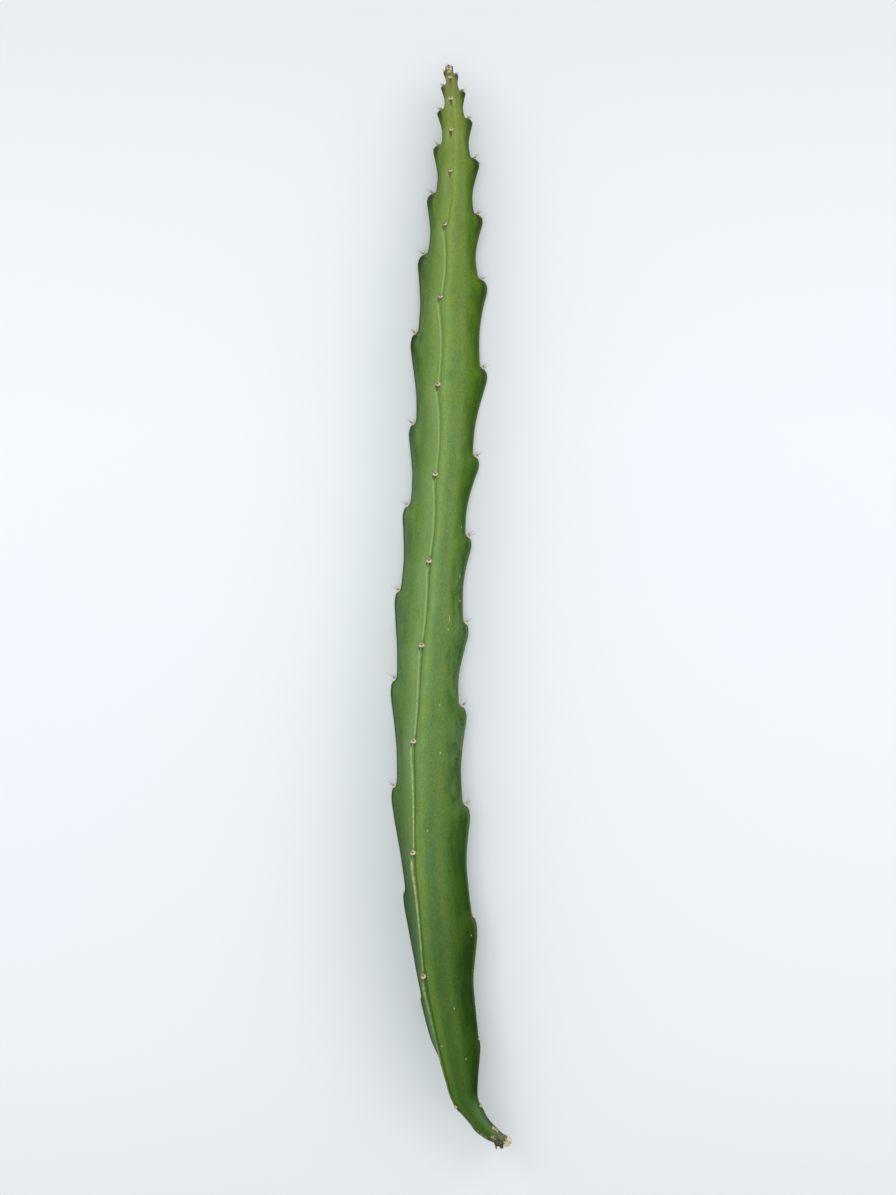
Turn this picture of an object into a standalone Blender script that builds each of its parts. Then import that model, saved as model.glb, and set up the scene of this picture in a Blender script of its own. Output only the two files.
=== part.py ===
"""A cut stem of a dragon fruit cactus, lying on a flat surface with its growing tip towards +Y.

It is one grown body: three lobed ribs round a core, a woolly areole with a few short spines at each lobe,
and a narrow corky base. The constants are in millimetres and the scene is in metres. Places along the
stem are measured from the tip towards the base, places across it from the tip to the right, and heights
from the surface. The origin is the middle of the bottom of the stem's box.
"""

import math
import random

import bmesh
import bpy
import numpy as np
from mathutils import Matrix, Vector

MM = 0.001
SEED = 11

# The middle of the box, measured from the tip
MIDDLE_ALONG = 228.15
MIDDLE_ACROSS = 0.77

# The stem's axis: along, across, height
AXIS = (
    (0.8, 0.5, 11.0),
    (10.9, 1.3, 10.7),
    (27.7, 2.3, 10.4),
    (67.6, 1.7, 10.0),
    (97.9, 0.4, 9.7),
    (124.0, -0.6, 9.6),
    (160.0, -2.0, 9.25),
    (190.0, -4.2, 9.4),
    (226.7, -7.4, 10.2),
    (264.0, -9.7, 11.1),
    (308.0, -9.8, 12.3),
    (352.5, -7.1, 11.85),
    (381.4, -4.2, 11.35),
    (397.0, -1.6, 11.4),
    (409.9, 0.7, 11.5),
    (428.8, 5.2, 10.8),
    (434.3, 7.2, 10.3),
    (439.3, 9.9, 9.9),
    (444.4, 13.3, 9.5),
    (447.2, 15.9, 9.2),
    (449.6, 18.8, 9.0),
    (451.4, 21.8, 8.9),
    (452.4, 24.2, 8.8),
)

# Each rib: how far its lobes reach from the axis, how far it is turned to the left of straight up in
# degrees, and where its areoles sit. The first number of each pair is the place along the stem.
FRONT_REACH = (
    (0.8, 1.3), (4.6, 3.2), (10.9, 5.2), (27.7, 8.4), (45.4, 10.9), (67.6, 13.0), (99.1, 16.2),
    (135.2, 17.6), (172.2, 17.2), (208.3, 17.2), (243.2, 18.1), (283.1, 18.3), (329.3, 18.0),
    (381.4, 15.4), (409.9, 11.6), (428.8, 7.6), (434.3, 6.2), (439.3, 4.7), (444.4, 3.9),
    (449.6, 3.3), (452.4, 2.2),
)
LEFT_REACH = (
    (0.8, 1.3), (4.6, 3.2), (10.9, 4.8), (20.5, 7.2), (36.1, 9.4), (57.0, 12.0), (83.5, 15.5),
    (117.5, 17.6), (155.5, 16.8), (190.7, 17.0), (226.7, 17.6), (264.0, 17.5), (308.5, 18.0),
    (352.5, 15.9), (395.0, 13.9), (407.0, 13.4), (419.2, 10.6), (434.3, 5.8), (439.3, 4.6),
    (444.4, 3.9), (449.6, 3.3), (452.4, 2.2),
)
RIGHT_REACH = (
    (0.8, 1.3), (4.6, 3.4), (11.5, 6.2), (24.5, 8.8), (41.2, 12.1), (66.4, 14.4), (94.1, 17.9),
    (131.9, 19.3), (169.7, 17.1), (202.4, 16.6), (237.7, 18.4), (273.0, 18.6), (315.8, 19.6),
    (366.0, 18.6), (414.1, 12.2), (428.8, 8.0), (439.3, 4.7), (444.4, 3.9), (449.6, 3.3), (452.4, 2.2),
)
FRONT_TURN = (
    (0.8, 0.0), (27.7, 7.0), (45.4, 6.0), (67.6, 14.5), (98.3, 14.0), (134.8, 11.0), (172.2, 9.0),
    (208.3, 7.0), (243.2, 7.5), (283.1, 15.5), (329.7, 19.5), (381.4, 24.0), (409.9, 30.0), (424.0, 38.0),
    (437.2, 58.0), (452.4, 62.0),
)
SIDE_TURN = (
    (0.8, 0.0), (99.1, 0.0), (124.3, 1.0), (183.1, 1.0), (225.1, 3.0), (267.1, 7.0), (315.8, 12.0),
    (351.1, 16.0), (381.4, 20.0), (409.9, 25.0), (424.0, 32.0), (437.2, 50.0), (452.4, 55.0),
)
FRONT_AREOLES = (
    5.6, 14.7, 28.0, 45.4, 67.9, 98.3, 134.9, 172.2, 208.3, 243.4, 283.3, 329.7, 381.4, 437.2, 446.9,
)
LEFT_AREOLES = (
    2.9, 8.8, 18.8, 33.6, 53.8, 79.2, 112.6, 150.8, 185.2, 221.3, 258.7, 303.7, 348.2, 393.1, 421.0,
)
RIGHT_AREOLES = (
    4.0, 10.8, 22.3, 39.1, 62.5, 89.8, 127.3, 164.6, 198.4, 234.8, 269.8, 311.2, 358.1, 409.5, 437.2,
)
RIBS = (
    (FRONT_REACH, FRONT_TURN, 0.0, FRONT_AREOLES),
    (LEFT_REACH, SIDE_TURN, 120.0, LEFT_AREOLES),
    (RIGHT_REACH, SIDE_TURN, 240.0, RIGHT_AREOLES),
)

# How far a rib's margin falls back between its lobes, and the shape of one lobe: the share of that depth
# at each share of the way to the next areole
LOBE_DEPTH = (
    (0.8, 0.5), (8.0, 2.0), (20.0, 2.9), (36.0, 3.6), (56.0, 3.9), (83.0, 4.3), (115.0, 3.5),
    (190.0, 3.3), (230.0, 2.6), (265.0, 3.3), (307.0, 3.1), (350.0, 2.8), (393.0, 1.8), (425.0, 0.4),
)
LOBE_SHAPE = (
    (0.0, 0.80), (0.02, 0.34), (0.06, 0.10), (0.12, 0.0), (0.18, 0.07), (0.25, 0.24), (0.35, 0.46),
    (0.5, 0.76), (0.65, 0.96), (0.78, 1.0), (0.9, 0.98), (0.97, 0.94), (1.0, 0.80),
)

# The cross-section: the crest's half width, how far each face is drawn in towards the axis, how it
# swells beside the crest, and how round the section is, from 0 for three ribs to 1 for a circle
CREST_HALF_WIDTH = ((0.8, 0.4), (20.0, 0.6), (60.0, 0.8), (400.0, 0.9), (452.4, 0.6))
FACE_PULL = 0.34
FACE_SWELL = 0.06
ROUND_PULL = 0.72
ROUNDNESS = ((0.8, 0.35), (20.0, 0.1), (60.0, 0.0), (415.0, 0.0), (440.0, 0.8), (449.0, 1.0))

# Where the mesh's rings and points lie: shares of the way from one areole to the next, and from one
# rib's crest to the next one's
RING_SHARES = (0.0, 0.03, 0.09, 0.2, 0.36, 0.55, 0.8, 0.97)
TIP_RING_SHARES = (0.0, 0.05, 0.15, 0.5, 0.9)
TIP_LOBES = 3
FACE_SHARES = (0.0, 0.14, 0.36, 0.64, 0.86, 1.0)
TIP_BULGE = 0.4
CUT_BULGE = 0.6

# Areoles: the cushion's radius by its place along the stem, its height as a share of that, and how far
# past its areole place it sits, as a share of the way to the next one
AREOLE_RADIUS = ((2.0, 0.55), (15.0, 0.75), (50.0, 1.05), (446.9, 1.15))
CUSHION_HEIGHT_SHARE = 0.75
CUSHION_SIDES = 7
CUSHION_RINGS = 4
SHOULDER_SHARE = 0.025

# Spines: length by place along the stem, then the fan they make in an areole. The angles are in degrees,
# and each spine differs from them at random by up to the jitter
SPINE_LENGTH = ((2.0, 1.1), (20.0, 1.7), (60.0, 2.8), (320.0, 3.0), (446.9, 1.8))
SPINE_LENGTH_SHARES = (0.8, 1.15)
SPINE_RADIUS = 0.27
SPINE_SIDES = 3
SPINE_ROOT = 0.7
SPINE_RISE_SHARE = 0.6
SPINE_SPREAD = (-38.0, 0.0, 38.0)
SPINE_SPREAD_JITTER = 9.0
SPINE_LEAN_TO_TIP = 30.0
SPINE_LEAN_JITTER = 12.0
SPINE_CLEARANCE = 0.35

# The woolly crown of the growing tip, and the corky knob and scabs of the base: along, across, height,
# radius
CROWN = (1.5, 0.5, 11.0, 1.6)
KNOB = (452.8, 25.0, 8.8, 2.35)
KNOB_ROUGHNESS = 0.12
SCABS = (
    (448.9, 15.2, 10.6, 0.9),
    (450.1, 16.9, 10.2, 0.9),
    (451.0, 19.4, 11.4, 1.2),
)
SCAB_FACING = (-0.4, 0.0, 0.9)

# Two dry ends beside the knob, the blunt stub and the thin spur: foot, tip, foot radius, tip radius
STUB = ((450.4, 20.6, 8.8), (455.2, 22.0, 8.2), 1.9, 1.2)
SPUR = ((452.0, 19.4, 8.6), (456.3, 20.4, 7.9), 0.7, 0.35)
DRY_END_SIDES = 7

# The block that trims the lowest lobes where they rest: width, length and depth
GROUND_BLOCK = (120.0, 560.0, 20.0)
PATH_STEPS = 2001

SKIN_COLOUR = (0.105, 0.215, 0.050, 1.0)
SKIN_ROUGHNESS = 0.45


def smooth_curve(points, where):
    """The value at each place of a smooth curve through (place, value) points, level past its ends.

    Between two points it never leaves their range.
    """
    places, values = np.array(points, float).T
    rises = np.diff(values) / np.diff(places)
    before, after = rises[:-1], rises[1:]
    same_way = before * after > 0
    inner = np.where(same_way, 2 * before * after / np.where(same_way, before + after, 1.0), 0.0)
    slopes = np.concatenate([rises[:1], inner, rises[-1:]])
    where = np.clip(where, places[0], places[-1])
    index = np.clip(np.searchsorted(places, where, side="right") - 1, 0, len(places) - 2)
    width = places[index + 1] - places[index]
    t = (where - places[index]) / width
    return (
        values[index] * (2 * t**3 - 3 * t**2 + 1)
        + slopes[index] * width * (t**3 - 2 * t**2 + t)
        + values[index + 1] * (3 * t**2 - 2 * t**3)
        + slopes[index + 1] * width * (t**3 - t**2)
    )


def smooth_step(x):
    x = np.clip(x, 0.0, 1.0)
    return x * x * (3 - 2 * x)


def to_frame(along, across, height):
    """A place measured from the tip, as x, y and z from the box's middle."""
    return np.stack([across - MIDDLE_ACROSS, MIDDLE_ALONG - along, height], axis=-1)


class Stem:
    """The stem's skin as a formula of a station, which is a length along the axis from the tip."""

    def __init__(self):
        rough = to_frame(*np.array(AXIS, float).T)
        chords = np.concatenate([[0.0], np.cumsum(np.linalg.norm(np.diff(rough, axis=0), axis=1))])
        fine = np.linspace(0.0, chords[-1], PATH_STEPS)
        self.path = np.stack([smooth_curve(list(zip(chords, line)), fine) for line in rough.T], axis=1)
        steps = np.linalg.norm(np.diff(self.path, axis=0), axis=1)
        self.stations = np.concatenate([[0.0], np.cumsum(steps)])
        self.length = self.stations[-1]
        self.forward = np.gradient(self.path, self.stations, axis=0)
        self.forward /= np.linalg.norm(self.forward, axis=1)[:, None]
        self.areoles = [self.areole_stations(rib) for rib in range(3)]

    def at(self, table, station):
        return np.stack([np.interp(station, self.stations, table[:, i]) for i in range(3)], axis=-1)

    def along(self, station):
        return MIDDLE_ALONG - self.at(self.path, station)[..., 1]

    def axes(self, station):
        """The unit vectors down the stem, to its side and up, at each station."""
        down = self.at(self.forward, station)
        side = np.cross((0.0, 0.0, 1.0), down)
        side /= np.linalg.norm(side, axis=-1, keepdims=True)
        return down, side, np.cross(down, side)

    def rib_vectors(self, rib, station):
        """The unit vectors out along a rib and across it, towards the next rib."""
        turn = np.radians(RIBS[rib][2] + smooth_curve(RIBS[rib][1], self.along(station)))[..., None]
        _, side, up = self.axes(station)
        return up * np.cos(turn) - side * np.sin(turn), -side * np.cos(turn) - up * np.sin(turn)

    def areole_stations(self, rib):
        """The stations whose rib crest lies level with each areole's place along the stem."""
        out, _ = self.rib_vectors(rib, self.stations)
        reach = smooth_curve(RIBS[rib][0], self.along(self.stations))
        crest_along = MIDDLE_ALONG - (self.path + out * reach[:, None])[:, 1]
        return np.interp(RIBS[rib][3], crest_along, self.stations)

    def reach(self, rib, station):
        """How far a rib's crest is from the axis, with its lobes."""
        along = self.along(station)
        marks = np.concatenate([[0.0], self.areoles[rib], [self.length]])
        index = np.clip(np.searchsorted(marks, station, side="right") - 1, 0, len(marks) - 2)
        share = (station - marks[index]) / (marks[index + 1] - marks[index])
        fall = smooth_curve(LOBE_DEPTH, along) * smooth_curve(LOBE_SHAPE, share)
        return smooth_curve(RIBS[rib][0], along) - fall

    def point(self, rib, share, station):
        """A point of the skin, this share of the way from a rib's crest to the next one's."""
        following = (rib + 1) % 3
        along = self.along(station)
        half_width = smooth_curve(CREST_HALF_WIDTH, along)[..., None]
        roundness = smooth_curve(ROUNDNESS, along)[..., None]
        ends = []
        for here, sign in ((rib, 1.0), (following, -1.0)):
            out, across = self.rib_vectors(here, station)
            reach = self.reach(here, station)[..., None]
            corner = out * reach + across * half_width * sign
            ribbed = across * sign * FACE_SWELL - out * FACE_PULL
            circular = across * sign * ROUND_PULL
            ends.append((corner, corner + reach * (ribbed * (1 - roundness) + circular * roundness)))
        t = np.asarray(share, float)[..., None]
        (start, start_pull), (end, end_pull) = ends
        return (
            self.at(self.path, station)
            + start * (1 - t) ** 3
            + start_pull * 3 * t * (1 - t) ** 2
            + end_pull * 3 * t**2 * (1 - t)
            + end * t**3
        )


def ring_levels(lobes):
    """Where the rings lie, counted in lobes, from just below the tip to just above the cut end."""
    levels = [-0.8, -0.4]
    for lobe in range(lobes):
        shares = TIP_RING_SHARES if lobe < TIP_LOBES else RING_SHARES
        levels += [lobe + share for share in shares]
    return levels[: len(levels) - len(RING_SHARES)] + [lobes - 1 + share for share in RING_SHARES] + [lobes]


def stem_mesh(stem):
    """The skin without areoles. A ring joins the same spot of the three ribs' lobes, so it lies aslant."""
    lobes = len(FRONT_AREOLES)
    marks = [np.concatenate([[0.0], stem.areoles[rib], [stem.length]]) for rib in range(3)]
    mesh = bmesh.new()
    rings = []
    for level in ring_levels(lobes):
        stations = [np.interp(level, np.arange(-1, lobes + 1), marks[rib]) for rib in range(3)]
        ring = []
        for rib in range(3):
            shares = np.array(FACE_SHARES)
            slide = smooth_step(shares)
            places = stations[rib] * (1 - slide) + stations[(rib + 1) % 3] * slide
            ring += [mesh.verts.new(point * MM) for point in stem.point(rib, shares, places)]
        rings.append(ring)
    for upper, lower in zip(rings, rings[1:]):
        for i in range(len(upper)):
            j = (i + 1) % len(upper)
            mesh.faces.new((upper[i], upper[j], lower[j], lower[i]))
    for ring, station, bulge in ((rings[0][::-1], 0.0, -TIP_BULGE), (rings[-1], stem.length, CUT_BULGE)):
        down, _, _ = stem.axes(station)
        pole = mesh.verts.new((stem.at(stem.path, station) + down * bulge) * MM)
        for i in range(len(ring)):
            mesh.faces.new((ring[i], ring[(i + 1) % len(ring)], pole))
    bmesh.ops.triangulate(mesh, faces=mesh.faces)
    return mesh


def add_object(name, mesh, collection):
    data = bpy.data.meshes.new(name)
    mesh.to_mesh(data)
    mesh.free()
    thing = bpy.data.objects.new(name, data)
    collection.objects.link(thing)
    return thing


def facing(direction, place):
    """A matrix that stands a shape's Z axis along a direction, at a place in millimetres."""
    turn = Vector(direction).to_track_quat("Z", "X").to_matrix().to_4x4()
    return Matrix.Translation(Vector(place) * MM) @ turn


def add_cushion(name, place, direction, radius, collection):
    """A low dome, sunk to its middle in the skin."""
    mesh = bmesh.new()
    bmesh.ops.create_uvsphere(
        mesh, u_segments=CUSHION_SIDES, v_segments=CUSHION_RINGS, radius=radius * MM
    )
    flat = Matrix.Diagonal((1.0, 1.0, CUSHION_HEIGHT_SHARE, 1.0))
    bmesh.ops.transform(mesh, matrix=facing(direction, place) @ flat, verts=mesh.verts)
    add_object(name, mesh, collection)


def add_cone(name, foot, tip, foot_radius, tip_radius, sides, collection):
    """A cone from its root, inside the body, to its tip."""
    foot, tip = np.array(foot), np.array(tip)
    mesh = bmesh.new()
    bmesh.ops.create_cone(
        mesh,
        cap_ends=True,
        segments=sides,
        radius1=foot_radius * MM,
        radius2=tip_radius * MM,
        depth=float(np.linalg.norm(tip - foot)) * MM,
    )
    bmesh.ops.transform(mesh, matrix=facing(tip - foot, (foot + tip) / 2), verts=mesh.verts)
    add_object(name, mesh, collection)


def add_areoles(stem, collection):
    """A woolly cushion and a fan of spines on the shoulder that starts each lobe."""
    draw = random.Random(SEED)
    for rib in range(3):
        spacings = np.diff(np.append(stem.areoles[rib], stem.length))
        for count, spacing in enumerate(spacings):
            along = RIBS[rib][3][count]
            station = stem.areoles[rib][count : count + 1] + SHOULDER_SHARE * spacing
            out, across = (vector[0] for vector in stem.rib_vectors(rib, station))
            to_tip = -stem.axes(station)[0][0]
            shoulder = stem.at(stem.path, station)[0] + out * stem.reach(rib, station)
            radius = float(smooth_curve(AREOLE_RADIUS, along))
            name = f"areole_{rib}_{count}"
            add_cushion(name, shoulder, out + to_tip, radius, collection)
            for spread in SPINE_SPREAD:
                fan = spread + draw.uniform(-SPINE_SPREAD_JITTER, SPINE_SPREAD_JITTER)
                lean = SPINE_LEAN_TO_TIP + draw.uniform(-SPINE_LEAN_JITTER, SPINE_LEAN_JITTER)
                fan, lean = math.radians(fan), math.radians(lean)
                direction = (out * math.cos(fan) + across * math.sin(fan)) * math.cos(lean)
                direction = direction + to_tip * math.sin(lean)
                length = float(smooth_curve(SPINE_LENGTH, along)) * draw.uniform(*SPINE_LENGTH_SHARES)
                tip = shoulder + direction * (length + radius * SPINE_RISE_SHARE)
                foot = shoulder - direction * SPINE_ROOT
                for end in (tip, foot):
                    end[2] = max(end[2], SPINE_CLEARANCE)
                add_cone(f"{name}_spine", foot, tip, SPINE_RADIUS, 0.0, SPINE_SIDES, collection)


def add_ends(collection):
    """The woolly crown at the tip, and the corky knob, scabs and dry ends at the base."""
    add_cushion("crown", to_frame(*CROWN[:3]), (0.0, 0.0, 1.0), CROWN[3], collection)
    for *place, radius in SCABS:
        add_cushion("scab", to_frame(*place), SCAB_FACING, radius, collection)
    for name, (foot, tip, foot_radius, tip_radius) in (("stub", STUB), ("spur", SPUR)):
        ends = to_frame(*foot), to_frame(*tip)
        add_cone(name, *ends, foot_radius, tip_radius, DRY_END_SIDES, collection)
    draw = random.Random(SEED)
    mesh = bmesh.new()
    bmesh.ops.create_icosphere(mesh, subdivisions=2, radius=KNOB[3] * MM)
    for vertex in mesh.verts:
        vertex.co *= 1 + draw.uniform(-KNOB_ROUGHNESS, KNOB_ROUGHNESS)
    bmesh.ops.translate(mesh, verts=mesh.verts, vec=Vector(to_frame(*KNOB[:3])) * MM)
    add_object("knob", mesh, collection)


def add_ground_cutter(collection):
    """A block under the surface, which leaves the lowest lobes flat where they rest."""
    mesh = bmesh.new()
    bmesh.ops.create_cube(mesh, size=1.0)
    width, length, depth = GROUND_BLOCK
    size = Matrix.Diagonal((width * MM, length * MM, depth * MM, 1.0))
    place = Matrix.Translation((0.0, 0.0, -depth * MM / 2))
    bmesh.ops.transform(mesh, matrix=place @ size, verts=mesh.verts)
    block = add_object("ground_block", mesh, collection)
    block.hide_render = True
    block.display_type = "WIRE"
    return block


def join_growths(body, growths):
    """Fuses every object of the collection into the body, and removes them."""
    union = body.modifiers.new("growths", "BOOLEAN")
    union.operation = "UNION"
    union.operand_type = "COLLECTION"
    union.collection = growths
    union.solver = "MANIFOLD"
    graph = bpy.context.evaluated_depsgraph_get()
    joined = bpy.data.meshes.new_from_object(body.evaluated_get(graph))
    body.modifiers.remove(union)
    body.data = joined
    joined.name = body.name
    for growth in list(growths.objects):
        bpy.data.objects.remove(growth, do_unlink=True)
    bpy.data.collections.remove(growths)


def skin_material():
    material = bpy.data.materials.new("cactus_skin")
    material.use_nodes = True
    shader = material.node_tree.nodes["Principled BSDF"]
    shader.inputs["Base Color"].default_value = SKIN_COLOUR
    shader.inputs["Roughness"].default_value = SKIN_ROUGHNESS
    shader.inputs["Metallic"].default_value = 0.0
    material.diffuse_color = SKIN_COLOUR
    return material


def new_collection(name):
    collection = bpy.data.collections.new(name)
    bpy.context.scene.collection.children.link(collection)
    return collection


def main():
    for thing in list(bpy.data.objects):
        bpy.data.objects.remove(thing, do_unlink=True)
    parts = new_collection("dragon_fruit_cactus")
    cutters = new_collection("cutters")
    growths = new_collection("growths")
    stem = Stem()
    body = add_object("stem", stem_mesh(stem), parts)
    add_areoles(stem, growths)
    add_ends(growths)
    join_growths(body, growths)
    rest = body.modifiers.new("rest", "BOOLEAN")
    rest.operation = "DIFFERENCE"
    rest.object = add_ground_cutter(cutters)
    body.data.materials.clear()
    body.data.materials.append(skin_material())


main()
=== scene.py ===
"""The looks of a cut dragon fruit cactus stem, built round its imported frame.

The skin is made again from the formula that shapes the stem, with far more points, and takes the plain
solid's place. Woolly areoles, spines, dry scale leaves, the woolly crown of the growing tip and the corky
base are pieces of their own. Shapes are worked out in millimetres, and the scene is in metres. Places
along the stem are measured from the tip towards the base, places across it from the tip to the right, and
heights from the surface.
"""

import math
import random
from collections import namedtuple

import bpy
import numpy as np
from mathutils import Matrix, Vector, noise


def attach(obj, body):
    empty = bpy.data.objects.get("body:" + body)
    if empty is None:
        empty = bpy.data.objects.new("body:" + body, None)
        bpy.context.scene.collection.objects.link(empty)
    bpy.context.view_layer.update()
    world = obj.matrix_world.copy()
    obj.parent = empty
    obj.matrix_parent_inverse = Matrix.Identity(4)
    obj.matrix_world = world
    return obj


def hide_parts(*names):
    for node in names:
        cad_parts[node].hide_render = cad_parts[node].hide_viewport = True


MM = 0.001
SEED = 11

# The photograph's frame in pixels, the size of a pixel at the stem, and the tip's place in it. Then the
# camera above it: its height, how near and far it sees, in metres, and its film.
FRAME_WIDTH = 896
FRAME_HEIGHT = 1195
PIXEL = 0.42
TIP_X = 448
TIP_Y = 64
CAMERA_HEIGHT = 1600.0
CAMERA_CLIP = (0.01, 20.0)
SENSOR = 36.0

# The middle of the stem's box, measured from the tip
MIDDLE_ALONG = 228.15
MIDDLE_ACROSS = 0.77

# The stem's axis: along, across, height
AXIS = (
    (0.8, 0.5, 11.0), (10.9, 1.3, 10.7), (27.7, 2.3, 10.4), (67.6, 1.7, 10.0), (97.9, 0.4, 9.7),
    (124.0, -0.6, 9.6), (160.0, -2.0, 9.25), (190.0, -4.2, 9.4), (226.7, -7.4, 10.2),
    (264.0, -9.7, 11.1), (308.0, -9.8, 12.3), (352.5, -7.1, 11.85), (381.4, -4.2, 11.35),
    (397.0, -1.6, 11.4), (409.9, 0.7, 11.5), (428.8, 5.2, 10.8), (434.3, 7.2, 10.3),
    (439.3, 9.9, 9.9), (444.4, 13.3, 9.5), (447.2, 15.9, 9.2), (449.6, 18.8, 9.0),
    (451.4, 21.8, 8.9), (452.4, 24.2, 8.8),
)

# Each rib: how far its lobes reach from the axis, how far it is turned to the left of straight up in
# degrees, and where its areoles sit. The first number of each pair is the place along the stem.
FRONT_REACH = (
    (0.8, 1.3), (4.6, 3.2), (10.9, 5.2), (27.7, 8.4), (45.4, 10.9), (67.6, 13.0), (99.1, 16.2),
    (135.2, 17.6), (172.2, 17.2), (208.3, 17.2), (243.2, 18.1), (283.1, 18.3), (329.3, 18.0),
    (381.4, 15.4), (409.9, 11.6), (428.8, 7.6), (434.3, 6.2), (439.3, 4.7), (444.4, 3.9),
    (449.6, 3.3), (452.4, 2.2),
)
LEFT_REACH = (
    (0.8, 1.3), (4.6, 3.2), (10.9, 4.8), (20.5, 7.2), (36.1, 9.4), (57.0, 12.0), (83.5, 15.5),
    (117.5, 17.6), (155.5, 16.8), (190.7, 17.0), (226.7, 17.6), (264.0, 17.5), (308.5, 18.0),
    (352.5, 15.9), (395.0, 13.9), (407.0, 13.4), (419.2, 10.6), (434.3, 5.8), (439.3, 4.6),
    (444.4, 3.9), (449.6, 3.3), (452.4, 2.2),
)
RIGHT_REACH = (
    (0.8, 1.3), (4.6, 3.4), (11.5, 6.2), (24.5, 8.8), (41.2, 12.1), (66.4, 14.4), (94.1, 17.9),
    (131.9, 19.3), (169.7, 17.1), (202.4, 16.6), (237.7, 18.4), (273.0, 18.6), (315.8, 19.6),
    (340.0, 18.6), (364.0, 18.6), (388.0, 15.1), (414.1, 12.2), (428.8, 8.0), (439.3, 4.7), (444.4, 3.9),
    (449.6, 3.3), (452.4, 2.2),
)
FRONT_TURN = (
    (0.8, 0.0), (27.7, 7.0), (45.4, 6.0), (67.6, 14.5), (98.3, 14.0), (134.8, 11.0), (172.2, 9.0),
    (208.3, 7.0), (243.2, 7.5), (283.1, 15.5), (329.7, 19.5), (381.4, 24.0), (409.9, 30.0), (424.0, 38.0),
    (437.2, 58.0), (452.4, 62.0),
)
SIDE_TURN = (
    (0.8, 0.0), (99.1, 0.0), (124.3, 1.0), (183.1, 1.0), (225.1, 3.0), (267.1, 7.0), (315.8, 12.0),
    (351.1, 16.0), (381.4, 20.0), (409.9, 25.0), (424.0, 32.0), (437.2, 50.0), (452.4, 55.0),
)
FRONT_AREOLES = (
    5.6, 14.7, 28.0, 45.4, 67.9, 98.3, 134.9, 172.2, 208.3, 243.4, 283.3, 329.7, 381.4, 437.2, 446.9,
)
LEFT_AREOLES = (
    2.9, 8.8, 18.8, 33.6, 53.8, 79.2, 112.6, 150.8, 185.2, 221.3, 258.7, 303.7, 348.2, 393.1, 421.0,
)
RIGHT_AREOLES = (
    4.0, 10.8, 22.3, 39.1, 62.5, 89.8, 127.3, 164.6, 198.4, 234.8, 269.8, 311.2, 358.1, 409.5, 437.2,
)
Rib = namedtuple("Rib", "reach twist turn areoles")
RIBS = (
    Rib(FRONT_REACH, FRONT_TURN, 0.0, FRONT_AREOLES),
    Rib(LEFT_REACH, SIDE_TURN, 120.0, LEFT_AREOLES),
    Rib(RIGHT_REACH, SIDE_TURN, 240.0, RIGHT_AREOLES),
)
AREOLES_PER_RIB = len(FRONT_AREOLES)

# How far a rib's margin falls back between its lobes, and the shape of one lobe: the share of that depth
# at each share of the way to the next areole
LOBE_DEPTH = (
    (0.8, 0.5), (8.0, 2.0), (20.0, 2.9), (36.0, 3.6), (56.0, 3.9), (83.0, 4.3), (115.0, 3.5),
    (190.0, 3.3), (230.0, 2.6), (265.0, 3.3), (307.0, 3.0), (350.0, 1.8), (393.0, 0.9), (425.0, 0.3),
)
LOBE_SHAPE = (
    (0.0, 0.80), (0.02, 0.34), (0.06, 0.10), (0.12, 0.0), (0.18, 0.07), (0.25, 0.24), (0.35, 0.46),
    (0.5, 0.76), (0.65, 0.96), (0.78, 1.0), (0.9, 0.98), (0.97, 0.94), (1.0, 0.80),
)

# The cross-section: the crest's half width, how far each face is drawn in towards the axis and how it
# swells beside the crest, in shares of the rib's reach, how deep the faces lie between two lobes, as a
# share of the margin's depth, and how round the section is, from 0 for three ribs to 1 for a circle
CREST_HALF_WIDTH = ((0.8, 0.4), (20.0, 0.6), (60.0, 0.8), (400.0, 0.9), (452.4, 0.6))
FACE_PULL = 0.34
FACE_SWELL = 0.06
FACE_FALL = 0.5
ROUND_PULL = 0.72
ROUNDNESS = ((0.8, 0.35), (20.0, 0.1), (60.0, 0.0), (415.0, 0.0), (440.0, 0.8), (449.0, 1.0))
PATH_STEPS = 2001
TIP_BULGE = 0.4
CUT_BULGE = 0.6

# The crest is a narrow horny band. It is widest just below an areole, bows to one side between two
# areoles, and has a bead along each edge and a crease in the skin beside it
BAND_SHAPE = ((0.0, 0.9), (0.05, 1.15), (0.25, 0.95), (0.6, 0.72), (0.9, 0.6), (1.0, 0.9))
BOW_SHAPE = (
    (0.0, 0.0), (0.03, -0.25), (0.07, -0.55), (0.15, -0.3), (0.32, 0.6), (0.5, 1.0), (0.72, 0.8),
    (0.93, 0.1), (1.0, 0.0),
)
BOW_SIZE = (
    (0.8, 0.0), (30.0, 0.2), (70.0, 0.5), (110.0, 0.6), (170.0, 0.5), (230.0, 0.35), (400.0, 0.25),
    (440.0, 0.0),
)
BEAD_HEIGHT = 0.1
BEAD_PLACE = 0.78
BEAD_WIDTH = 0.3
CREASE_DEPTH = 0.16
CREASE_PLACE = 0.45
CREASE_WIDTH = 0.35

# The skin's mesh: points across a crest, in half widths of its band, points from one crest to the next,
# the room between rings, and how much closer both lie near a crest or an areole
BAND_OFFSETS = (-1.0, -0.8, -0.45, 0.0, 0.45, 0.8)
FACE_POINTS = 24
FACE_CROWDING = 0.75
RING_ROOM = 0.5
RING_CROWDING = 0.7
FEWEST_RINGS = 14
FEWEST_ROOM = 3.0
SWELL_HEIGHT = 0.12
SWELL_SIZE = 9.0

# A straight round stem that the skin's markings are laid on: its radius, and the turn that half a
# crest's band takes up there, where 1 is the turn from one rib to the next
UNROLLED_RADIUS = 15.0
BAND_TURN = 0.02

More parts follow.
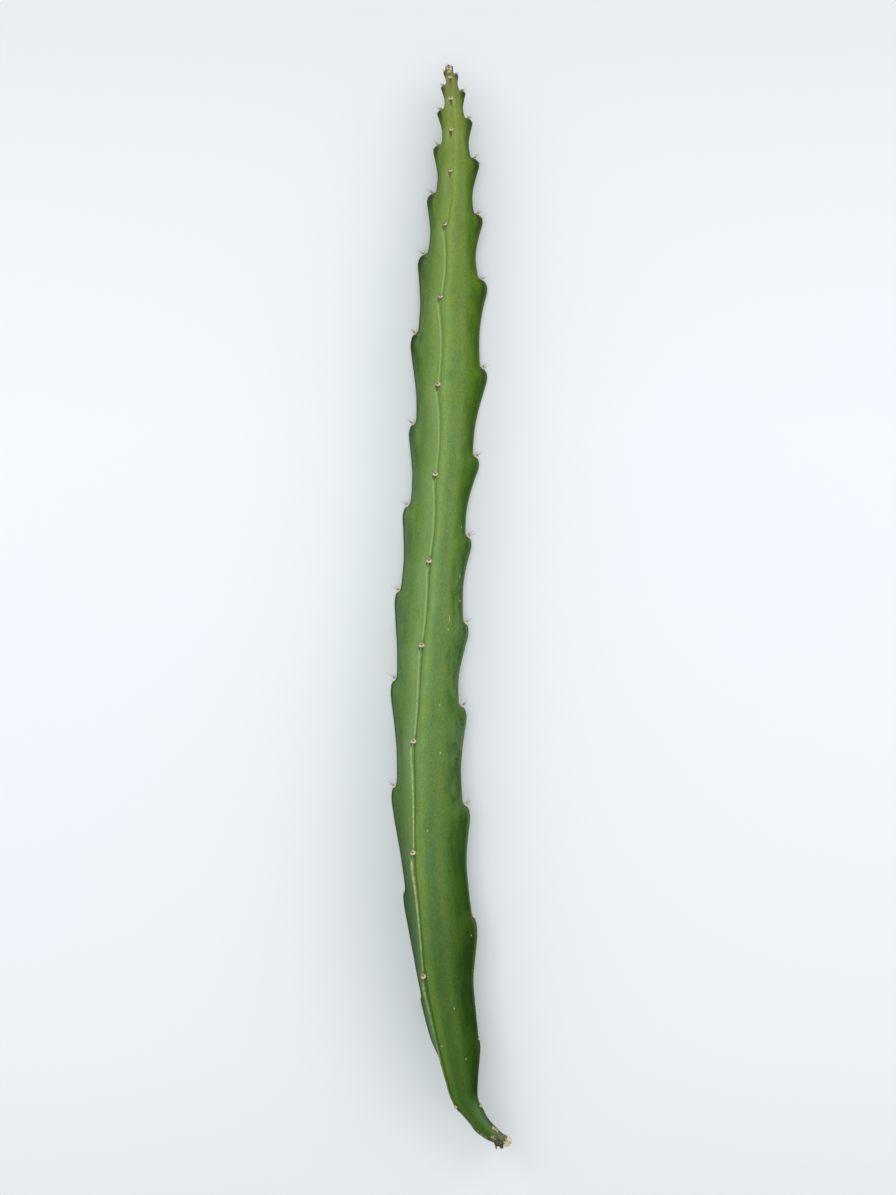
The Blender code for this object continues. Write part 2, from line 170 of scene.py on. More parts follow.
# Areoles: the cushion's radius by its place along the stem, its height as a share of that, and how far
# past its areole place it sits on the front, left and right rib
AREOLE_RADIUS = (
    (2.0, 0.65), (15.0, 0.82), (30.0, 0.76), (68.0, 0.68), (98.0, 0.84), (135.0, 0.9), (175.0, 1.0),
    (400.0, 1.05), (437.0, 0.8),
)
CUSHION_HEIGHT_SHARE = 0.75
SHOULDER_GAP = (0.55, 0.25, 0.25)

# Spines: length by place along the stem, then the fan they make in an areole. The angles are in degrees,
# and each spine differs from them at random by up to the jitter
SPINE_LENGTH = ((2.0, 1.1), (20.0, 1.9), (60.0, 3.5), (320.0, 3.9), (446.9, 1.8))
SPINE_LENGTH_SHARES = (0.8, 1.15)
SPINE_RISE_SHARE = 0.6
SPINE_ROOT = 0.7
SPINE_SPREAD = (-38.0, 0.0, 38.0)
SPINE_SPREAD_JITTER = 9.0
SPINE_LEAN_TO_TIP = 30.0
SPINE_LEAN_JITTER = 12.0
SPINE_CLEARANCE = 0.35
SPINE_RADIUS = 0.17

# Spines that only show close to: how many more each areole has, and how far they lean from its middle
FINE_SPINES = 2
FINE_SPINE_SPREAD = 55.0
FINE_SPINE_LENGTH = 0.7

# The woolly cushion, in shares of its radius: its rings, where its raised rim runs, how low it is inside
# the rim and where the rim is open, how far it sinks, and how far it leans towards the tip
PAD_RINGS = (0.18, 0.36, 0.5, 0.64, 0.78, 0.92, 1.04)
PAD_SIDES = 16
PAD_RIM = 0.6
PAD_RIM_WIDTH = 0.26
PAD_FLOOR_SHARE = 0.45
PAD_OPENING = 0.4
PAD_EDGE = 1.06
PAD_SUNK = 0.5
PAD_TILT = 0.7

# How brown its wool is: from its middle outwards, where the rim is open, and, by its place along the
# stem, on an old cushion and on one of the side ribs
PAD_WARM_START = 0.08
PAD_WARM_FALL = 0.3
PAD_WARM_OPENING = 0.15
PAD_WARM_OLD = ((320.0, 0.0), (440.0, 0.3))
PAD_WARM_SIDE = ((50.0, 0.55), (130.0, 0.0))

# The places along the stem from which areoles have lost their cushion, and, on the front, left and right
# rib, their spines
BARE_FROM = 440.0
SPINELESS_FROM = (430.0, 340.0, 350.0)

# The wool's hairs, on the cushions and, longer, on the growing tip
WOOL_PER_MM2 = 30.0
WOOL_RADIUS = 0.04
WOOL_TIP_SHARE = 0.2
WOOL_LENGTHS = (0.15, 0.45)
CROWN_WOOL_LENGTHS = (0.15, 0.5)

# What lies on the floor is pressed flat: everything lower than this is drawn up towards it
PRESSED_HEIGHT = 0.4

# The dry scale leaf on the shoulder of a young areole: how many areoles of each rib keep one, how far
# past its areole it is rooted, and its sizes
LEAFY_AREOLES = (3, 5, 5)
LEAF_GAP = ((2.0, 1.8), (12.0, 2.5), (30.0, 2.8), (80.0, 2.6))
LEAF_LENGTH = ((2.0, 1.5), (10.0, 1.7), (25.0, 1.8), (80.0, 1.5))
LEAF_HALF_WIDTH = ((2.0, 0.5), (25.0, 0.7), (80.0, 0.55))
LEAF_THICKNESS = 0.7
LEAF_SUNK = 0.25
LEAF_LEAN = 0.45
SPINE_VALUES = {"Sides": 5, "Segments": 4, "Tip share": 0.08, "Bend": 2.2}
LEAF_VALUES = {"Sides": 8, "Segments": 5, "Tip share": 0.06, "Bend": 0.6}

# The woolly tufts that crown the growing tip: along, across, height, radius, half its height and how
# brown it is. Then the brown teeth between them, with the lean of each in degrees and its length.
CROWN = (
    (1.1, -0.25, 12.2, 0.75, 1.4, 0.05),
    (1.6, 0.75, 12.0, 0.85, 1.5, 0.4),
    (2.3, -0.15, 12.3, 0.9, 1.5, 0.35),
    (2.6, 0.95, 12.2, 0.95, 1.6, 0.25),
    (3.6, 0.5, 12.6, 0.85, 1.3, 0.5),
    (2.3, 0.5, 9.9, 1.35, 1.4, 0.5),
)
CROWN_DENTS = 0.35
CROWN_TEETH = (
    (3.3, -0.8, 13.2, -6.0, 2.2),
    (3.2, 1.85, 13.2, 3.0, 2.0),
    (1.3, 0.2, 13.6, -14.0, 0.9),
    (2.8, 0.3, 9.2, -10.0, 1.6),
)
TOOTH_RADIUS = 0.34
TOOTH_THINNESS = 0.8

# The pale callus on the cut: along, across, height and radius, and the way that it faces
KNOB = (452.6, 24.3, 8.8, 2.3)
KNOB_FACING = (1.0, -0.35, 0.1)
KNOB_DENTS = 0.15
KNOB_TONE = -0.1
GRANULES_PER_MM2 = 2.4
GRANULE_SIZES = (0.2, 0.42)

# The scabs of the neck: station, turn to the left of straight up in degrees, radius and tone. The tone
# goes from 0, pale, over 1, a pinkish brown, to 2, dark.
SCABS = (
    (453.4, -48.0, 0.95, 0.1),
    (454.9, -52.0, 1.1, 0.5),
    (454.3, -40.0, 0.5, 1.3),
    (455.2, 14.0, 1.0, 0.6),
    (456.4, 26.0, 1.3, 1.0),
    (455.0, 36.0, 0.9, 1.5),
    (449.4, 48.0, 0.55, 0.2),
    (451.4, 52.0, 0.75, 0.4),
    (453.3, 50.0, 0.9, 0.9),
)
SCAB_FLATNESS = 0.45
SCAB_DENTS = 0.6
SCAB_DEPTH = 0.1

# The dry ends beside the callus, two lobes of the blunt stub and the thin spur: foot, tip, foot radius,
# tip radius and tone. Each is rounded off as its profile says, in shares of its length and its tip radius.
DRY_ENDS = (
    ((451.7, 20.8, 10.6), (454.6, 21.2, 9.7), 1.55, 1.3, 1.5),
    ((452.2, 22.3, 10.2), (455.7, 22.6, 9.2), 1.4, 0.95, 1.45),
    ((451.6, 19.3, 8.9), (456.25, 20.5, 7.9), 0.75, 0.4, 0.8),
)
STUB_DENTS = 0.3
STUB_PROFILE = ((0.6, 1.1), (0.85, 0.9), (1.0, 0.25))
TURNED_STEPS = 18
TURNED_SIDES = 28
TURNED_CROWDING = 0.6
BALL_STEPS = 12

# Any way that no turned form's axis follows, and the size of the dents, with the roughness, spacing and
# number of layers of their noise
OFF_AXIS = (0.3, 0.2, 1.0)
DENT_SIZE = 0.9
DENT_LAYERS = (1.0, 2.0, 3)

# The skin's colours as they look on a screen, by the place round the stem, counted in ribs from the front
# rib's crest to the left. They are partly the skin's own greens and partly painted light: painted shade on
# the right margin and a painted bluish sheen on the left margin.
SKIN_ROUND_WITH_PAINTED_LIGHT = (
    (0.0, (116, 149, 78)), (0.05, (104, 138, 72)), (0.3, (108, 140, 64)), (0.65, (84, 117, 44)),
    (0.85, (95, 126, 70)), (1.0, (114, 144, 94)), (1.15, (84, 116, 60)), (1.5, (104, 136, 76)),
    (1.85, (80, 112, 54)), (2.0, (72, 98, 30)), (2.12, (74, 108, 24)), (2.3, (77, 110, 26)),
    (2.45, (98, 128, 58)), (2.6, (97, 129, 63)), (2.78, (116, 149, 72)), (2.93, (100, 130, 62)),
    (3.0, (116, 149, 78)),
)

# How the skin's red, green and blue are dimmed, by the share of the stem's length from the tip: partly the
# older skin's darker green and partly a painted falloff of the light towards the base. Then the same for the
# left face from its middle on, painted lighter towards the base: partly painted light and sheen on a face
# turned towards the light, and partly its paler bloom.
STEM_LENGTH = 460.0
SKIN_ALONG_WITH_FALLOFF = (
    (0.0, (1.46, 1.06, 0.95)), (0.065, (1.36, 1.06, 0.83)), (0.13, (1.24, 1.06, 0.94)),
    (0.26, (1.14, 1.07, 1.06)), (0.4, (1.14, 1.08, 1.26)), (0.6, (1.05, 1.02, 1.2)),
    (0.74, (0.76, 0.76, 0.8)), (0.815, (0.52, 0.57, 0.47)), (0.88, (0.48, 0.54, 0.35)),
    (0.945, (0.37, 0.44, 0.24)), (1.0, (0.34, 0.41, 0.22)),
)
LEFT_ALONG_LIT = (
    (0.55, (1.04, 1.02, 1.2)), (0.62, (0.98, 0.98, 1.0)), (0.69, (0.72, 0.78, 0.54)),
    (0.75, (0.41, 0.54, 0.22)), (0.815, (0.36, 0.51, 0.16)), (0.88, (0.56, 0.67, 0.3)),
    (1.0, (0.47, 0.55, 0.19)),
)

# The same for the stripes of the right face's lower half, by the share of the way from the right crest to
# the front one. They are partly the skin's own stripes and partly a painted soft reflection in the face's
# hollow.
STRIPES_AND_SHEEN = (
    (0.0, (1.0, 1.0, 1.0)), (0.22, (0.85, 0.92, 0.75)), (0.42, (1.0, 1.0, 1.0)), (0.5, (1.2, 1.12, 1.2)),
    (0.6, (0.95, 1.0, 1.05)), (0.7, (0.8, 0.9, 0.95)), (0.8, (1.1, 1.08, 1.0)), (0.88, (1.42, 1.28, 1.25)),
    (0.95, (1.25, 1.18, 1.1)), (1.0, (1.0, 1.0, 1.0)),
)

# Other changes of red, green and blue, of the skin and then of the other finishes
SKIN_YELLOWER = (1.16, 1.03, 0.6)
SKIN_BLUER = (0.8, 0.95, 1.25)
SKIN_DARKER = (0.78, 0.86, 0.74)
SKIN_LIGHTER = (1.2, 1.12, 1.2)
LEFT_SHOULDER = (0.46, 0.56, 0.5)
RIGHT_SHOULDER = (0.2, 0.4, 0.06)
YOUNG_SHOULDER = (0.3, 0.4, 0.18)
YOUNG_BAND = (1.14, 1.14, 0.45)
MARGIN_SHADE = (0.5, 0.62, 0.42)
CREST_SHADE = (0.4, 0.5, 0.34)
WOOL_SHADE = (0.86, 0.81, 0.68)
SPINE_SHADE = (0.6, 0.55, 0.5)
CORK_SHADE = (0.5, 0.44, 0.32)

# Pale specks and scratches: turn counted in ribs, station, half width and half length
SPECKS = (
    (2.19, 193.0, 0.4, 0.45), (2.17, 213.5, 0.3, 1.0), (2.13, 224.0, 0.5, 0.55), (2.38, 232.0, 0.22, 1.8),
    (2.4, 236.5, 0.5, 0.4), (2.47, 269.0, 0.35, 0.35), (2.45, 289.0, 0.4, 0.45), (2.67, 321.0, 0.35, 0.4),
    (0.78, 341.0, 0.3, 0.7), (2.47, 397.0, 0.3, 0.5), (2.85, 411.0, 0.35, 0.4), (2.38, 419.0, 0.4, 0.4),
)

# The specks' soft edge, in half widths. Then the random ones: how far apart specks and scratches are, and
# the share at which the stem's length is counted for the scratches, which draws them out
SPECK_EDGE = (1.2, 0.5)
SPECK_ROOM = 9.0
SCRATCH_ROOM = 8.0
SCRATCH_SHARE = 0.14

# The skin's clouds, from large soft ones to grain, then blotches and streaks: how long each looks along
# the stem, as a share that is less than 1 where it is drawn out, size, detail and roughness
SKIN_CLOUDS = (
    (1.0, 6.0, 3.0, 0.5),
    (1.0, 0.9, 4.0, 0.5),
    (1.0, 0.6, 2.0, 0.5),
    (0.35, 3.2, 3.0, 0.5),
    (0.05, 2.2, 3.0, 0.55),
)

# The other clouds and grains: size in millimetres, detail and roughness
GRAINS = {
    "crest cork": (1.6, 3.0, 0.5),
    "speck groups": (30.0, 3.0, 0.5),
    "bark": (1.3, 5.0, 0.65),
    "bark's relief": (0.6, 4.0, 0.6),
    "pores": (0.32, 2.0, 0.5),
    "wool's browns": (0.5, 3.0, 0.5),
    "wool": (0.16, 3.0, 0.6),
    "spine's browns": (1.2, 3.0, 0.5),
    "spine": (0.18, 3.0, 0.5),
    "leaf": (0.22, 3.0, 0.6),
    "cork's patches": (1.1, 3.0, 0.5),
    "cork": (0.45, 5.0, 0.65),
    "floor's clouds": (260.0, 2.0, 0.5),
    "floor": (1.5, 2.0, 0.5),
}

# The stations between which each marking comes in or, where the first is the farther one, goes
PARTS = {
    "left face": ((240.0, 262.0), (447.0, 437.0)),
    "stripes": ((290.0, 350.0), (446.0, 432.0)),
    "green neck": ((432.0, 444.0),),
    "brown tip": ((20.0, 3.0),),
    "above the neck": ((446.0, 432.0),),
    "grown margins": ((110.0, 190.0),),
    "drawn crests": ((50.0, 80.0), (446.0, 430.0)),
    "old crests": ((150.0, 220.0),),
    "base crests": ((340.0, 420.0),),
    "corky crests": ((225.0, 310.0),),
    "less corky crests": ((350.0, 400.0),),
    "old scars": ((80.0, 130.0),),
    "bloom": ((180.0, 225.0), (345.0, 290.0)),
}

# Bands along the stem: the turn of the middle of each, counted in ribs, and its half width
TURNS = {
    "green neck": (2.28, 0.42),
    "young band": (2.14, 0.26),
    "right shoulders": (2.0, 0.8),
    "bloom": (2.1, 0.42),
}

# The lines along a crest: the middle of each and its half width, in half widths of the crest's band
LINES = {
    "broad pale": (1.0, 1.6),
    "narrow pale": (0.3, 0.75),
    "cork": (0.3, 0.95),
    "dark": (-1.25, 0.9),
    "inner dark": (-0.3, 0.35),
    "scar's tail": (-0.15, 0.4),
}

# The same on both sides of a crest, for the dark lines beside an areole and for the open middle of an old
# scar. Then how much narrower a scar gets with each millimetre, in half widths of the band.
DARK_PAIR = (1.0, 0.42)
SCAR_MIDDLE = (0.0, 0.5)
SCAR_TAPER = 0.5

# Where each mask comes in: it is 0 at the first number and 1 at the second one. First masks of clouds and
# grains, then of turns and of shares, of millimetres, and of half widths of a crest's band
FADES = {
    "yellower": (0.5, 0.72),
    "bluer": (0.5, 0.3),
    "clouds": (0.45, 0.7),
    "dark grain": (0.48, 0.66),
    "light grain": (0.5, 0.34),
    "brown tip": (0.3, 0.6),
    "bloom": (0.36, 0.62),
    "crest cork": (0.44, 0.58),
    "speck groups": (0.5, 0.62),
    "random specks": (0.045, 0.02),
    "random scratches": (0.032, 0.015),
    "wool's hollows": (0.55, 0.3),
    "spine's grain": (0.5, 0.75),
    "cork's pits": (0.34, 0.6),
    "front rib": (0.3, 0.75),
    "left face's start": (0.02, 0.12),
    "left face's end": (0.98, 0.88),
    "shoulder's start": (0.0, 0.16),
    "shoulder's end": (1.0, 0.25),
    "shoulder": (1.0, -1.0),
    "corner's end": (0.36, 0.1),
    "corner's start": (0.0, 0.6),
    "corner": (4.6, 1.2),
    "margin": (3.0, 0.6),
    "young rim": (1.7, 0.5),
    "old rim reflection": (1.1, 0.3),
    "inner dark": (26.0, 8.0),
    "dark pair": (6.0, 3.0),
    "dark cap": (3.2, 0.6),
    "scar's start": (0.2, 0.7),
    "scar's tail": (5.0, 1.5),
    "scar": (2.3, 1.5),
    "dark cap's side": (1.2, 0.6),
}

# How far each marking covers what lies under it. A gain is what an old one covers more, and a loss is what
# it covers less in some places.
COVER = {
    "green neck": 0.85,
    "streaks": 0.4,
    "blotches": 0.6,
    "clouds": 0.5,
    "fine clouds": 0.5,
    "grain": 0.8,
    "brown tip": 0.85,
    "shoulder": 0.85,
    "young corner": 0.9,
    "margin": 0.28,
    "young rim": 0.45,
    "old rim reflection": 0.12,
    "broad pale": 0.35,
    "broad pale's gain": 0.15,
    "narrow pale": 0.8,
    "pale's loss": 0.6,
    "cork": 0.8,
    "cork's loss": 0.7,
    "dark": 0.5,
    "dark's gain": 0.45,
    "inner dark": 0.4,
    "dark pair": 0.9,
    "dark cap": 0.75,
    "scar": 0.85,
    "scar's loss": 0.6,
    "scar's tail": 0.7,
    "specks": 0.7,
    "bloom": 0.18,
    "bark": 0.9,
    "wool's hollows": 0.6,
    "spine's grain": 0.4,
    "cork's pits": 0.75,
}

# How far a dark shoulder reaches from the margin, in millimetres and as a share of the room between two
# areoles, how soft its edge is, in the same way, and how far the clouds move it
SHOULDER_REACH = 0.3
SHOULDER_REACH_SHARE = 0.18
SHOULDER_EDGE = 0.6
SHOULDER_EDGE_SHARE = 0.13
SHOULDER_CLOUDS = 2.0

# The stations between which the skin turns to bark, and how far clouds move them
BARK_STATIONS = (453.8, 456.4)
BARK_CLOUDS = 6.0

# The skin's relief in millimetres, where the specks are hollows, its shine, its roughness, and how much
# rougher some of its markings are
SKIN_RELIEF = {
    "clouds": 0.12,
    "fine clouds": 0.05,
    "streaks": 0.1,
    "pores": 0.014,
    "specks": 0.02,
    "bark": 0.35,
}
SKIN_SHINE = 0.08
SKIN_ROUGHNESS = 0.4
ROUGHER = {"fine clouds": 0.25, "bark": 0.35, "bloom": 0.2, "scar": 0.25}

# More colours as they look on a screen, some of them as ramps
PALE_CREST = (154, 176, 102)
BASE_CREST = (96, 132, 78)
CORKY_CREST = (176, 184, 130)
YOUNG_BROWN = (112, 100, 64)
YOUNG_RIM = (84, 82, 50)
YOUNG_CORNER = (40, 48, 30)
NECK_GREEN = (84, 118, 62)
# A painted bluish reflection along the rims of the grown side ribs
OLD_RIM_REFLECTION = (74, 98, 68)
SCAR = (92, 82, 50)
OLD_SCAR = (58, 76, 34)
SPECK = (184, 206, 160)
BLOOM = (150, 176, 150)
NECK_BARK = ((0.38, (44, 52, 32)), (0.47, (78, 90, 64)), (0.55, (104, 110, 88)), (0.64, (164, 152, 124)))
WOOL_COLOURS = ((0.0, (236, 228, 198)), (0.5, (205, 192, 150)), (1.0, (113, 96, 64)))
SPINE_COLOURS = ((0.0, (96, 80, 62)), (0.35, (124, 106, 86)), (0.8, (138, 120, 100)), (1.0, (84, 66, 52)))
LEAF_COLOURS = ((0.0, (104, 96, 62)), (0.4, (88, 76, 54)), (1.0, (58, 48, 38)))
CORK_COLOURS = (
    (0.0, (234, 224, 190)), (0.5, (196, 180, 136)), (1.0, (150, 128, 106)), (1.5, (86, 94, 60)),
    (2.0, (50, 60, 34)),
)

# The plainer finishes: roughness, how far the grain changes it, shine, and the grain's relief in
# millimetres
WOOL_FINISH = (0.8, 0.2, 0.15, 0.12)
SPINE_FINISH = (0.42, 0.2, 0.4, 0.02)
LEAF_FINISH = (0.62, 0.2, 0.3, 0.08)
CORK_FINISH = (0.75, 0.2, 0.2, 0.25)
FLOOR_FINISH = (0.85, 0.1, 0.1, 0.01)

# How far the grain moves each one's place in its ramp of colours, and the stretch of the leaves' veins
WANDER = {"wool": 0.5, "spine": 0.3, "leaf": 0.4, "cork": 0.5, "cork's patches": 0.9}
VEIN_STRETCH = (1.0, 0.25, 1.0)

# The cork: the middle of its patches, and the room between its pits and their depth
CORK_PATCH_MIDDLE = 0.42
CORK_PIT_ROOM = 0.8
CORK_PIT_DEPTH = 0.2

# The floor's two pale greys, as shares of the light that they give back, and a painted falloff of the light
# that dims them towards both ends, by the share of this length from the base towards the tip
FLOOR_COOL = (0.85, 0.884, 0.908)
FLOOR_WARM = (0.872, 0.896, 0.908)
FLOOR_LENGTH = 500.0
FLOOR_PAINTED_FALLOFF = ((0.0, 0.9), (0.12, 0.95), (0.3, 0.98), (0.5, 1.0), (0.65, 1.0), (0.85, 0.95), (1.0, 0.88))

# The floor's reach each way and its depth below the stem, in millimetres, and the light: each lamp's
# name, place, size, power and colour
FLOOR_REACH = 3000.0
FLOOR_DEPTH = 0.1
SKY_COLOUR = (0.945, 0.965, 1.0, 1.0)
SKY_STRENGTH = 0.86
LIGHTS = (
    ("key", (2.4, 1.6, 1.35), 2.0, 32.0, (1.0, 0.99, 0.97)),
    ("fill", (-2.4, 1.5, 1.35), 2.0, 30.0, (0.98, 0.99, 1.0)),
)
MIDDLE_HEIGHT = 10.0

# Numbered sockets of the Mix node's colours
MIX_FIRST = 6
MIX_SECOND = 7
MIX_RESULT = 2

Areole = namedtuple("Areole", "rib number along foot leaf_foot out across to_tip radius")


def smooth_curve(points, where):
    """The value at each place of a smooth curve through (place, value) points, level past its ends.

    Between two points it never leaves their range.
    """
    places, values = np.array(points, float).T
    rises = np.diff(values) / np.diff(places)
    before, after = rises[:-1], rises[1:]
    same_way = before * after > 0
    inner = np.where(same_way, 2 * before * after / np.where(same_way, before + after, 1.0), 0.0)
    slopes = np.concatenate([rises[:1], inner, rises[-1:]])
    where = np.clip(where, places[0], places[-1])
    index = np.clip(np.searchsorted(places, where, side="right") - 1, 0, len(places) - 2)
    width = places[index + 1] - places[index]
    t = (where - places[index]) / width
    return (
        values[index] * (2 * t**3 - 3 * t**2 + 1)
        + slopes[index] * width * (t**3 - 2 * t**2 + t)
        + values[index + 1] * (3 * t**2 - 2 * t**3)
        + slopes[index + 1] * width * (t**3 - t**2)
    )


def smooth_step(x):
    x = np.clip(x, 0.0, 1.0)
    return x * x * (3 - 2 * x)


def hump(x, middle, width):
    return np.exp(-(((x - middle) / width) ** 2))


def unit(vector):
    vector = np.asarray(vector, float)
    return vector / np.linalg.norm(vector, axis=-1, keepdims=True)


def to_frame(along, across, height):
    """A place measured from the tip, as x, y and z from the box's middle."""
    return np.stack([across - MIDDLE_ACROSS, MIDDLE_ALONG - along, height], axis=-1)


class Stem:
    """The stem's skin as a formula of a station, which is a length along the axis from the tip."""

    def __init__(self):
        rough = to_frame(*np.array(AXIS, float).T)
        chords = np.concatenate([[0.0], np.cumsum(np.linalg.norm(np.diff(rough, axis=0), axis=1))])
        fine = np.linspace(0.0, chords[-1], PATH_STEPS)
        self.path = np.stack([smooth_curve(list(zip(chords, line)), fine) for line in rough.T], axis=1)
        steps = np.linalg.norm(np.diff(self.path, axis=0), axis=1)
        self.stations = np.concatenate([[0.0], np.cumsum(steps)])
        self.length = self.stations[-1]
        self.forward = unit(np.gradient(self.path, self.stations, axis=0))
        self.areoles = [self.areole_stations(rib) for rib in range(3)]
        self.marks = [np.concatenate([[0.0], places, [self.length]]) for places in self.areoles]

    def at(self, table, station):
        return np.stack([np.interp(station, self.stations, table[:, i]) for i in range(3)], axis=-1)

    def along(self, station):
        return MIDDLE_ALONG - self.at(self.path, station)[..., 1]

    def axes(self, station):
        """The unit vectors down the stem, to its side and up, at each station."""
        down = self.at(self.forward, station)
        side = unit(np.cross((0.0, 0.0, 1.0), down))
        return down, side, np.cross(down, side)

    def rib_vectors(self, rib, station):
        """The unit vectors out along a rib and across it, towards the next rib."""
        turn = np.radians(RIBS[rib].turn + smooth_curve(RIBS[rib].twist, self.along(station)))[..., None]
        _, side, up = self.axes(station)
        return up * np.cos(turn) - side * np.sin(turn), -side * np.cos(turn) - up * np.sin(turn)

    def areole_stations(self, rib):
        """The stations whose rib crest lies level with each areole's place along the stem."""
        out, _ = self.rib_vectors(rib, self.stations)
        reach = smooth_curve(RIBS[rib].reach, self.along(self.stations))
        crest_along = MIDDLE_ALONG - (self.path + out * reach[:, None])[:, 1]
        return np.interp(RIBS[rib].areoles, crest_along, self.stations)

    def lobe_share(self, rib, station):
        """How far along its lobe a station is, from 0 at one areole to 1 at the next."""
        marks = self.marks[rib]
        index = np.clip(np.searchsorted(marks, station, side="right") - 1, 0, len(marks) - 2)
        return (station - marks[index]) / (marks[index + 1] - marks[index])

    def reach(self, rib, station):
        """How far a rib's crest is from the axis, with its lobes."""
        along = self.along(station)
        fall = smooth_curve(LOBE_DEPTH, along) * smooth_curve(LOBE_SHAPE, self.lobe_share(rib, station))
        return smooth_curve(RIBS[rib].reach, along) - fall

    def even_reach(self, rib, station):
        """How far a rib's crest would be from the axis without its lobes."""
        along = self.along(station)
        return smooth_curve(RIBS[rib].reach, along) - smooth_curve(LOBE_DEPTH, along) * FACE_FALL

    def band_half_width(self, rib, station):
        widest = smooth_curve(CREST_HALF_WIDTH, self.along(station))
        return widest * smooth_curve(BAND_SHAPE, self.lobe_share(rib, station))

    def crest(self, rib, station, offset):
        """A point of a rib's band, this many half widths across it, measured from the axis."""
        out, across = self.rib_vectors(rib, station)
        along = self.along(station)
        bow = smooth_curve(BOW_SIZE, along) * smooth_curve(BOW_SHAPE, self.lobe_share(rib, station))
        bead = BEAD_HEIGHT * hump(abs(offset), BEAD_PLACE, BEAD_WIDTH)
        half_width = self.band_half_width(rib, station)
        rise = self.reach(rib, station) + bead * np.minimum(half_width, 1.0)
        return out * rise[..., None] + across * (half_width * offset - bow)[..., None]

    def point(self, rib, share, station):
        """A point of the skin, this share of the way from a rib's crest to the next one's."""
        roundness = smooth_curve(ROUNDNESS, self.along(station))[..., None]
        ends, creases = [], []
        for here, sign in ((rib, 1.0), ((rib + 1) % 3, -1.0)):
            out, across = self.rib_vectors(here, station)
            reach = self.reach(here, station)[..., None]
            corner = self.crest(here, station, sign)
            evened = self.even_reach(here, station)[..., None] - reach
            start = corner + out * evened * (1 - roundness)
            ribbed = across * sign * FACE_SWELL - out * FACE_PULL
            circular = across * sign * ROUND_PULL
            ends.append((corner, start + reach * (ribbed * (1 - roundness) + circular * roundness)))
            creases.append(out * CREASE_DEPTH * (1 - roundness))
        (start, start_pull), (end, end_pull) = ends
        skin = (
            start * (1 - share) ** 3
            + start_pull * 3 * share * (1 - share) ** 2
            + end_pull * 3 * share**2 * (1 - share)
            + end * share**3
        )
        for corner, crease in zip((start, end), creases):
            gap = np.linalg.norm(skin - corner, axis=-1)[..., None]
            skin = skin - crease * hump(gap, CREASE_PLACE, CREASE_WIDTH)
        return self.at(self.path, station) + skin

    def crest_point(self, rib, station, offset=0.0):
        return self.at(self.path, station) + self.crest(rib, station, offset)


class Shape:
    """The points, in millimetres, the faces and the named point values of one piece."""

    def __init__(self):
        self.points = []
        self.faces = []
        self.values = {}
        self.count = 0

    def add(self, points, faces=(), **values):
        points = np.asarray(points, float)
        self.faces += [[index + self.count for index in face] for face in faces]
        self.points.append(points)
        self.count += len(points)
        for name, value in values.items():
            self.values.setdefault(name, []).append(np.asarray(value, float))

    def add_loft(self, rings, first_pole, last_pole, **values):
        """A closed skin over rings of points, which turn clockwise seen from the first pole."""
        rings = np.asarray(rings, float)
        steps, sides, _ = rings.shape
        first, last = steps * sides, steps * sides + 1
        faces = []
        for i in range(sides):
            j = (i + 1) % sides
            for low in range(0, (steps - 1) * sides, sides):
                faces.append((low + i, low + j, low + sides + j, low + sides + i))
            faces.append((first, j, i))
            faces.append((last, (steps - 1) * sides + i, (steps - 1) * sides + j))
        points = np.concatenate([rings.reshape(-1, 3), [first_pole, last_pole]])
        self.add(points, faces, **values)

    def build(self, name, material=None):
        mesh = bpy.data.meshes.new(name)
        mesh.from_pydata(np.concatenate(self.points) * MM, [], self.faces)
        for key, parts in self.values.items():
            value = np.concatenate(parts)
            kind, field = ("FLOAT", "value") if value.ndim == 1 else ("FLOAT_VECTOR", "vector")
            layer = mesh.attributes.new(key, kind, "POINT")
            layer.data.foreach_set(field, value.astype(np.float32).ravel())
        if material:
            mesh.materials.append(material)
        thing = bpy.data.objects.new(name, mesh)
        bpy.context.scene.collection.objects.link(thing)
        return thing


class Number:
    """A node's output in an expression. Each operator adds a Math node."""

    def __init__(self, tree, socket):
        self.tree = tree
        self.socket = socket

    def math(self, operation, *others):
        return self.tree.math(operation, self, *others)

    def __add__(self, other):
        return self.tree.math("ADD", self, other)

    def __sub__(self, other):
        return self.tree.math("SUBTRACT", self, other)

    def __rsub__(self, other):
        return self.tree.math("SUBTRACT", other, self)

    def __mul__(self, other):
        return self.tree.math("MULTIPLY", self, other)

    def __truediv__(self, other):
        return self.tree.math("DIVIDE", self, other)

    __radd__ = __add__
    __rmul__ = __mul__


